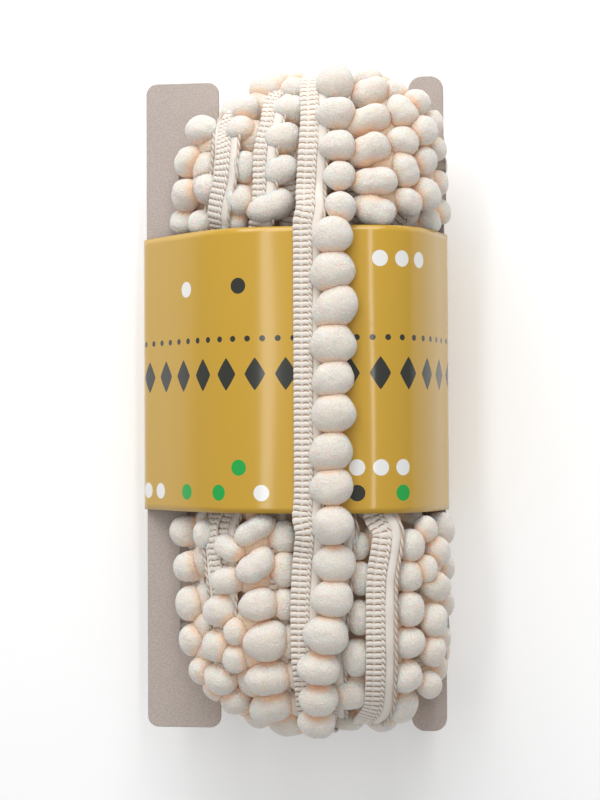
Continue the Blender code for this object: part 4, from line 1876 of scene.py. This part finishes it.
@dataclass(frozen=True)
class Felt:
    """The pompoms' felted wool.

    Attributes:
        colour: Its colour.
        shade: The colour between its fibres.
        warm: The painted warm shade in the creases between pompoms and deep in the winding.
        glow: A painted glow given off in the same places, for the light that wool scatters on into
            the creases.
        roughness: Its roughness.
        scatter: How deep the light goes in.
        glow_strength: The strength of the painted glow.
        shares: How much painted shade the deepest crease gets, and how much warmer the warmest
            pompom is by its own random tone.
        bump: The height of its fibres, and the share of the effect.
    """

    colour: Colour = (0.88, 0.845, 0.79)
    shade: Colour = (0.80, 0.75, 0.675)
    warm: Colour = (0.88, 0.58, 0.38)
    glow: Colour = (0.95, 0.57, 0.31)
    roughness: float = 0.95
    scatter: float = 3.5 * MM
    glow_strength: float = 0.09
    shares: tuple[float, float] = (0.75, 0.05)
    bump: tuple[float, float] = (0.9 * MM, 1.0)

    def build(self) -> bpy.types.Material:
        """Makes the material: two noises for the fibres, and a tone of its own a pompom.

        Returns:
            The material, painted warm and glowing where the recess of the points is near 1.
        """
        values = {
            "Roughness": self.roughness,
            "Specular IOR Level": 0.1,
            "Sheen Weight": 0.5,
            "Sheen Roughness": 0.5,
            "Subsurface Weight": 1.0,
            "Subsurface Radius": (1.0, 0.65, 0.45),
            "Subsurface Scale": self.scatter,
            "Emission Strength": self.glow_strength,
        }
        made, graph, inputs = new_material("felted_wool", values)
        tufts = graph.noise(graph.node("TexCoord").outputs["Object"], 420)
        tufts = graph.math("MULTIPLY", tufts, 0.8)
        fine, normal = graph.grain((1500, 5), self.bump, tufts)
        # Painted shade and glow: the creases and the deep parts are mixed towards the warm colour
        # and given a little light, and each pompom adds a random tone of its own.
        share = graph.math("POWER", graph.attribute("recess"), 2.0)
        tone = graph.math("MULTIPLY", graph.attribute("tone"), self.shares[1])
        share = graph.math("MULTIPLY_ADD", share, self.shares[0], tone)
        wool = graph.mix(graph.ramp(fine, 0.3, 0.72), self.colour, self.shade)
        graph.feed(inputs["Base Color"], graph.mix(share, wool, self.warm))
        graph.feed(inputs["Emission Color"], graph.mix(share, (0.0, 0.0, 0.0), self.glow))
        graph.feed(inputs["Normal"], normal)
        return made


@dataclass(frozen=True)
class Thread:
    """The heading's thread.

    Attributes:
        colour: Its colour.
        gap: The painted shade in the gaps between the braid's rows, between the cord's strands and
            on the ground under the turns.
        roughness: Its roughness.
        bump: The height of its filaments, and the share of the effect.
    """

    colour: Colour = (0.80, 0.74, 0.67)
    gap: Colour = (0.40, 0.26, 0.16)
    roughness: float = 0.55
    bump: tuple[float, float] = (0.15 * MM, 0.5)

    def build(self) -> bpy.types.Material:
        """Makes the material: the gaps dark, and a fine noise for the filaments.

        Returns:
            The material. A gap is a narrow line about each whole number of the points' row,
            darkened with painted shade where the points' gap mask is high.
        """
        values = {
            "Roughness": self.roughness,
            "Specular IOR Level": 0.35,
            "Sheen Weight": 0.25,
        }
        made, graph, inputs = new_material("cream_thread", values)
        # Painted shade: along the gap lines the colour goes towards the gap colour, as far as the
        # points' gap mask lets it.
        from_gap = graph.math("PINGPONG", graph.attribute("row"), 0.5)
        line = graph.math("SUBTRACT", 1.0, graph.ramp(from_gap, 0.05, 0.17))
        share = graph.math("MULTIPLY", line, graph.ramp(graph.attribute("gap"), 0.2, 1.0))
        dip = graph.math("MULTIPLY", share, -2.0)
        graph.feed(inputs["Base Color"], graph.mix(share, self.colour, self.gap))
        graph.feed(inputs["Normal"], graph.grain((3200, 2), self.bump, dip)[1])
        return made


@dataclass(frozen=True)
class MotifRow:
    """One printed row of like motifs round the band.

    Attributes:
        place: Its place along the card.
        pitch: The distance from motif to motif.
        width: The width of a motif.
        height: The height of a motif.
        power: Its form: 2 is round and 1 a diamond.
        seed: What sets the motifs left out and their colours.
        share: The share of the motifs that is kept.
        mixed: Whether the motifs are white, green or dark, and not all dark.
    """

    place: float
    pitch: float
    width: float
    height: float
    power: float = 2.0
    seed: float = 1.0
    share: float = 1.0
    mixed: bool = True


DOT = 6.4 * MM
PRINT = (
    MotifRow(56 * MM, 9.5 * MM, DOT, DOT, seed=3, share=0.4),
    MotifRow(46 * MM, 9.5 * MM, DOT, DOT, seed=8, share=0.28),
    MotifRow(-26 * MM, 9.5 * MM, DOT, DOT, seed=2, share=0.28),
    MotifRow(-36 * MM, 9.5 * MM, DOT, DOT, seed=5, share=0.4),
    MotifRow(11 * MM, 12.5 * MM, 8.5 * MM, 13 * MM, power=1.1, mixed=False),
    MotifRow(25 * MM, 6.25 * MM, 2.4 * MM, 2.4 * MM, mixed=False),
)


@dataclass(frozen=True)
class GoldPaper:
    """The band's gold paper with its printed pattern.

    Attributes:
        gold: The paper's colour.
        white: The light print.
        green: The green print.
        dark: The dark print.
        roughness: The roughness of the gold under its varnish.
        varnish: The strength and the roughness of the varnish.
        shares: The numbers past which a mixed row's motifs are green, and then dark.
        bump: The height of the paper's fibres, and the share of the effect.
    """

    gold: Colour = (0.60, 0.36, 0.043)
    white: Colour = (0.86, 0.86, 0.84)
    green: Colour = (0.02, 0.40, 0.07)
    dark: Colour = (0.035, 0.037, 0.03)
    roughness: float = 0.34
    varnish: tuple[float, float] = (1.0, 0.14)
    shares: tuple[float, float] = (0.45, 0.8)
    bump: tuple[float, float] = (0.05 * MM, 0.3)

    @staticmethod
    def motifs_group() -> bpy.types.NodeTree:
        """The group that draws one row of like motifs, some of them left out.

        It takes the place round the band and along it, and the row's place, pitch, motif
        width, motif height, power, seed and the share that is kept. A motif is where the two
        distances from its middle, over its half width and half height and raised to the
        power, add to less than 1: 2 is round and 1 a diamond.

        Returns:
            The group. It gives a mask of the motifs and a number of each one's own.
        """
        names = ("Round", "Along", "Place", "Pitch", "Width", "Height", "Power", "Seed", "Share")
        tree, graph, given, taken = new_group("motif_row", names, ("Mask", "Number"))
        cells = graph.math("DIVIDE", given["Round"], given["Pitch"])
        cell = graph.math("FLOOR", cells)
        pair = graph.node("CombineXYZ")
        graph.feed(pair.inputs[0], cell)
        graph.feed(pair.inputs[1], given["Seed"])
        number = graph.node("TexWhiteNoise", noise_dimensions="2D")
        graph.feed(number.inputs["Vector"], pair.outputs[0])
        own = number.outputs["Value"]
        sideways = graph.math("SUBTRACT", graph.math("SUBTRACT", cells, cell), 0.5)
        sideways = graph.math("MULTIPLY", sideways, given["Pitch"])
        upright = graph.math("SUBTRACT", given["Along"], given["Place"])
        total: object = 0.0
        for apart, size in ((sideways, "Width"), (upright, "Height")):
            share = graph.math("DIVIDE", graph.math("ABSOLUTE", apart), given[size])
            share = graph.math("POWER", graph.math("MULTIPLY", share, 2.0), given["Power"])
            total = graph.math("ADD", total, share)
        inside = graph.math("LESS_THAN", total, 1.0)
        kept = graph.math("LESS_THAN", own, given["Share"])
        graph.feed(taken["Mask"], graph.math("MULTIPLY", inside, kept))
        graph.feed(taken["Number"], graph.math("DIVIDE", own, given["Share"]))
        return tree

    def build(self) -> bpy.types.Material:
        """Makes the material: gold with rows of dots and of dark diamonds.

        Returns:
            The material.
        """
        values = {
            "Roughness": self.roughness,
            "Specular IOR Level": 0.05,
            "Coat Weight": self.varnish[0],
            "Coat Roughness": self.varnish[1],
        }
        made, graph, inputs = new_material("gold_paper", values)
        split = graph.node("SeparateXYZ")
        graph.feed(split.inputs[0], graph.node("UVMap", uv_map="places").outputs[0])
        group = self.motifs_group()
        colour: object = self.gold
        for row in PRINT:
            motifs = graph.node("Group", node_tree=group)
            graph.feed(motifs.inputs["Round"], split.outputs[0])
            graph.feed(motifs.inputs["Along"], split.outputs[1])
            for key in ("place", "pitch", "width", "height", "power", "seed", "share"):
                graph.feed(motifs.inputs[key.title()], getattr(row, key))
            ink: object = self.white if row.mixed else self.dark
            if row.mixed:
                for share, other in zip(self.shares, (self.green, self.dark), strict=True):
                    later = graph.math("GREATER_THAN", motifs.outputs["Number"], share)
                    ink = graph.mix(later, ink, other)
            colour = graph.mix(motifs.outputs["Mask"], colour, ink)
        graph.feed(inputs["Base Color"], colour)
        graph.feed(inputs["Normal"], graph.grain((1500, 3), self.bump)[1])
        return made


@dataclass(frozen=True)
class Greyboard:
    """The card's grey board.

    Attributes:
        light: Its lighter fibres.
        dark: Its darker fibres.
        fleck: The few dark flecks.
        roughness: Its roughness.
        bump: The height of its fibres, and the share of the effect.
    """

    light: Colour = (0.57, 0.495, 0.452)
    dark: Colour = (0.43, 0.366, 0.33)
    fleck: Colour = (0.30, 0.25, 0.22)
    roughness: float = 0.92
    bump: tuple[float, float] = (0.12 * MM, 0.35)

    def build(self) -> bpy.types.Material:
        """Makes the material: a noise of fibres and a few flecks.

        Returns:
            The material.
        """
        made, graph, inputs = new_material("grey_board", {"Roughness": self.roughness})
        where = graph.node("TexCoord").outputs["Object"]
        fibres, normal = graph.grain((1500, 5), self.bump)
        clouds = graph.math("MULTIPLY", graph.noise(where, 60), 0.3)
        share = graph.math("ADD", graph.ramp(fibres, 0.25, 0.8), clouds)
        colour = graph.mix(share, self.light, self.dark)
        flecks = graph.ramp(graph.noise(where, 1700, 1), 0.72, 0.78)
        colour = graph.mix(graph.math("MULTIPLY", flecks, 0.6), colour, self.fleck)
        graph.feed(inputs["Base Color"], colour)
        graph.feed(inputs["Normal"], normal)
        return made


# Surroundings


@dataclass(frozen=True)
class Softbox:
    """One large soft light.

    Attributes:
        name: Its name.
        place: Where it is.
        aim: What it points at.
        size: Its width and length.
        power: Its power in watts.
    """

    name: str
    place: tuple[float, float, float]
    aim: tuple[float, float, float]
    size: tuple[float, float]
    power: float

    def build(self) -> None:
        """Adds the light, its length as nearly along Y as its aim lets it be."""
        data = bpy.data.lights.new(self.name, "AREA")
        data.shape = "RECTANGLE"
        data.size, data.size_y = self.size
        data.energy = self.power
        made = bpy.data.objects.new(self.name, data)
        made.location = self.place
        back = (Vector(self.place) - Vector(self.aim)).normalized()
        side = Vector((0, 1, 0)).cross(back).normalized()
        axes = Matrix((side, back.cross(side), back)).transposed()
        made.rotation_euler = axes.to_euler()
        bpy.context.scene.collection.objects.link(made)


SOFTBOXES = (
    Softbox("left_light", (-0.26, 0.2, 1.0), (0, 0.1, 0.06), (0.12, 1.3), 2.0),
    Softbox("right_light", (0.245, 0.2, 1.0), (0, 0.1, 0.06), (0.05, 1.3), 1.5),
    Softbox("top_light", (-0.1, 1.0, 0.7), (0, 0.05, 0.05), (1.2, 0.8), 12.0),
)


def add_floor() -> None:
    """Adds the pale floor and the even light of the room."""
    mesh = bpy.data.meshes.new("floor")
    half = 3.0
    corners = [(-half, -half, 0), (half, -half, 0), (half, half, 0), (-half, half, 0)]
    mesh.from_pydata(corners, [], [(0, 1, 2, 3)])
    floor = bpy.data.objects.new("floor", mesh)
    values = {
        "Base Color": (0.97, 0.97, 0.97),
        "Roughness": 0.9,
        "Emission Color": (0.97, 0.985, 1.0),
        "Emission Strength": 0.14,
    }
    mesh.materials.append(new_material("pale_floor", values)[0])
    bpy.context.scene.collection.objects.link(floor)
    world = bpy.data.worlds.new("room")
    world.use_nodes = True
    background = world.node_tree.nodes["Background"]
    background.inputs["Color"].default_value = (1, 1, 1, 1)
    background.inputs["Strength"].default_value = 0.34
    bpy.context.scene.world = world
    bpy.context.scene.view_settings.view_transform = "Standard"


def main() -> None:
    """Builds the whole scene."""
    logging.basicConfig(level=logging.INFO, format="%(message)s")
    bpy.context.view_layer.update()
    view = View()
    winding = Winding()
    LOG.info("winding path: %.4f m", winding.length)
    Card().build(Greyboard().build())
    Band().build(GoldPaper().build())
    Trim(winding, view, Felt().build(), Thread().build()).build()
    for light in SOFTBOXES:
        light.build()
    add_floor()
    view.add_camera()


if __name__ == "__main__":
    main()
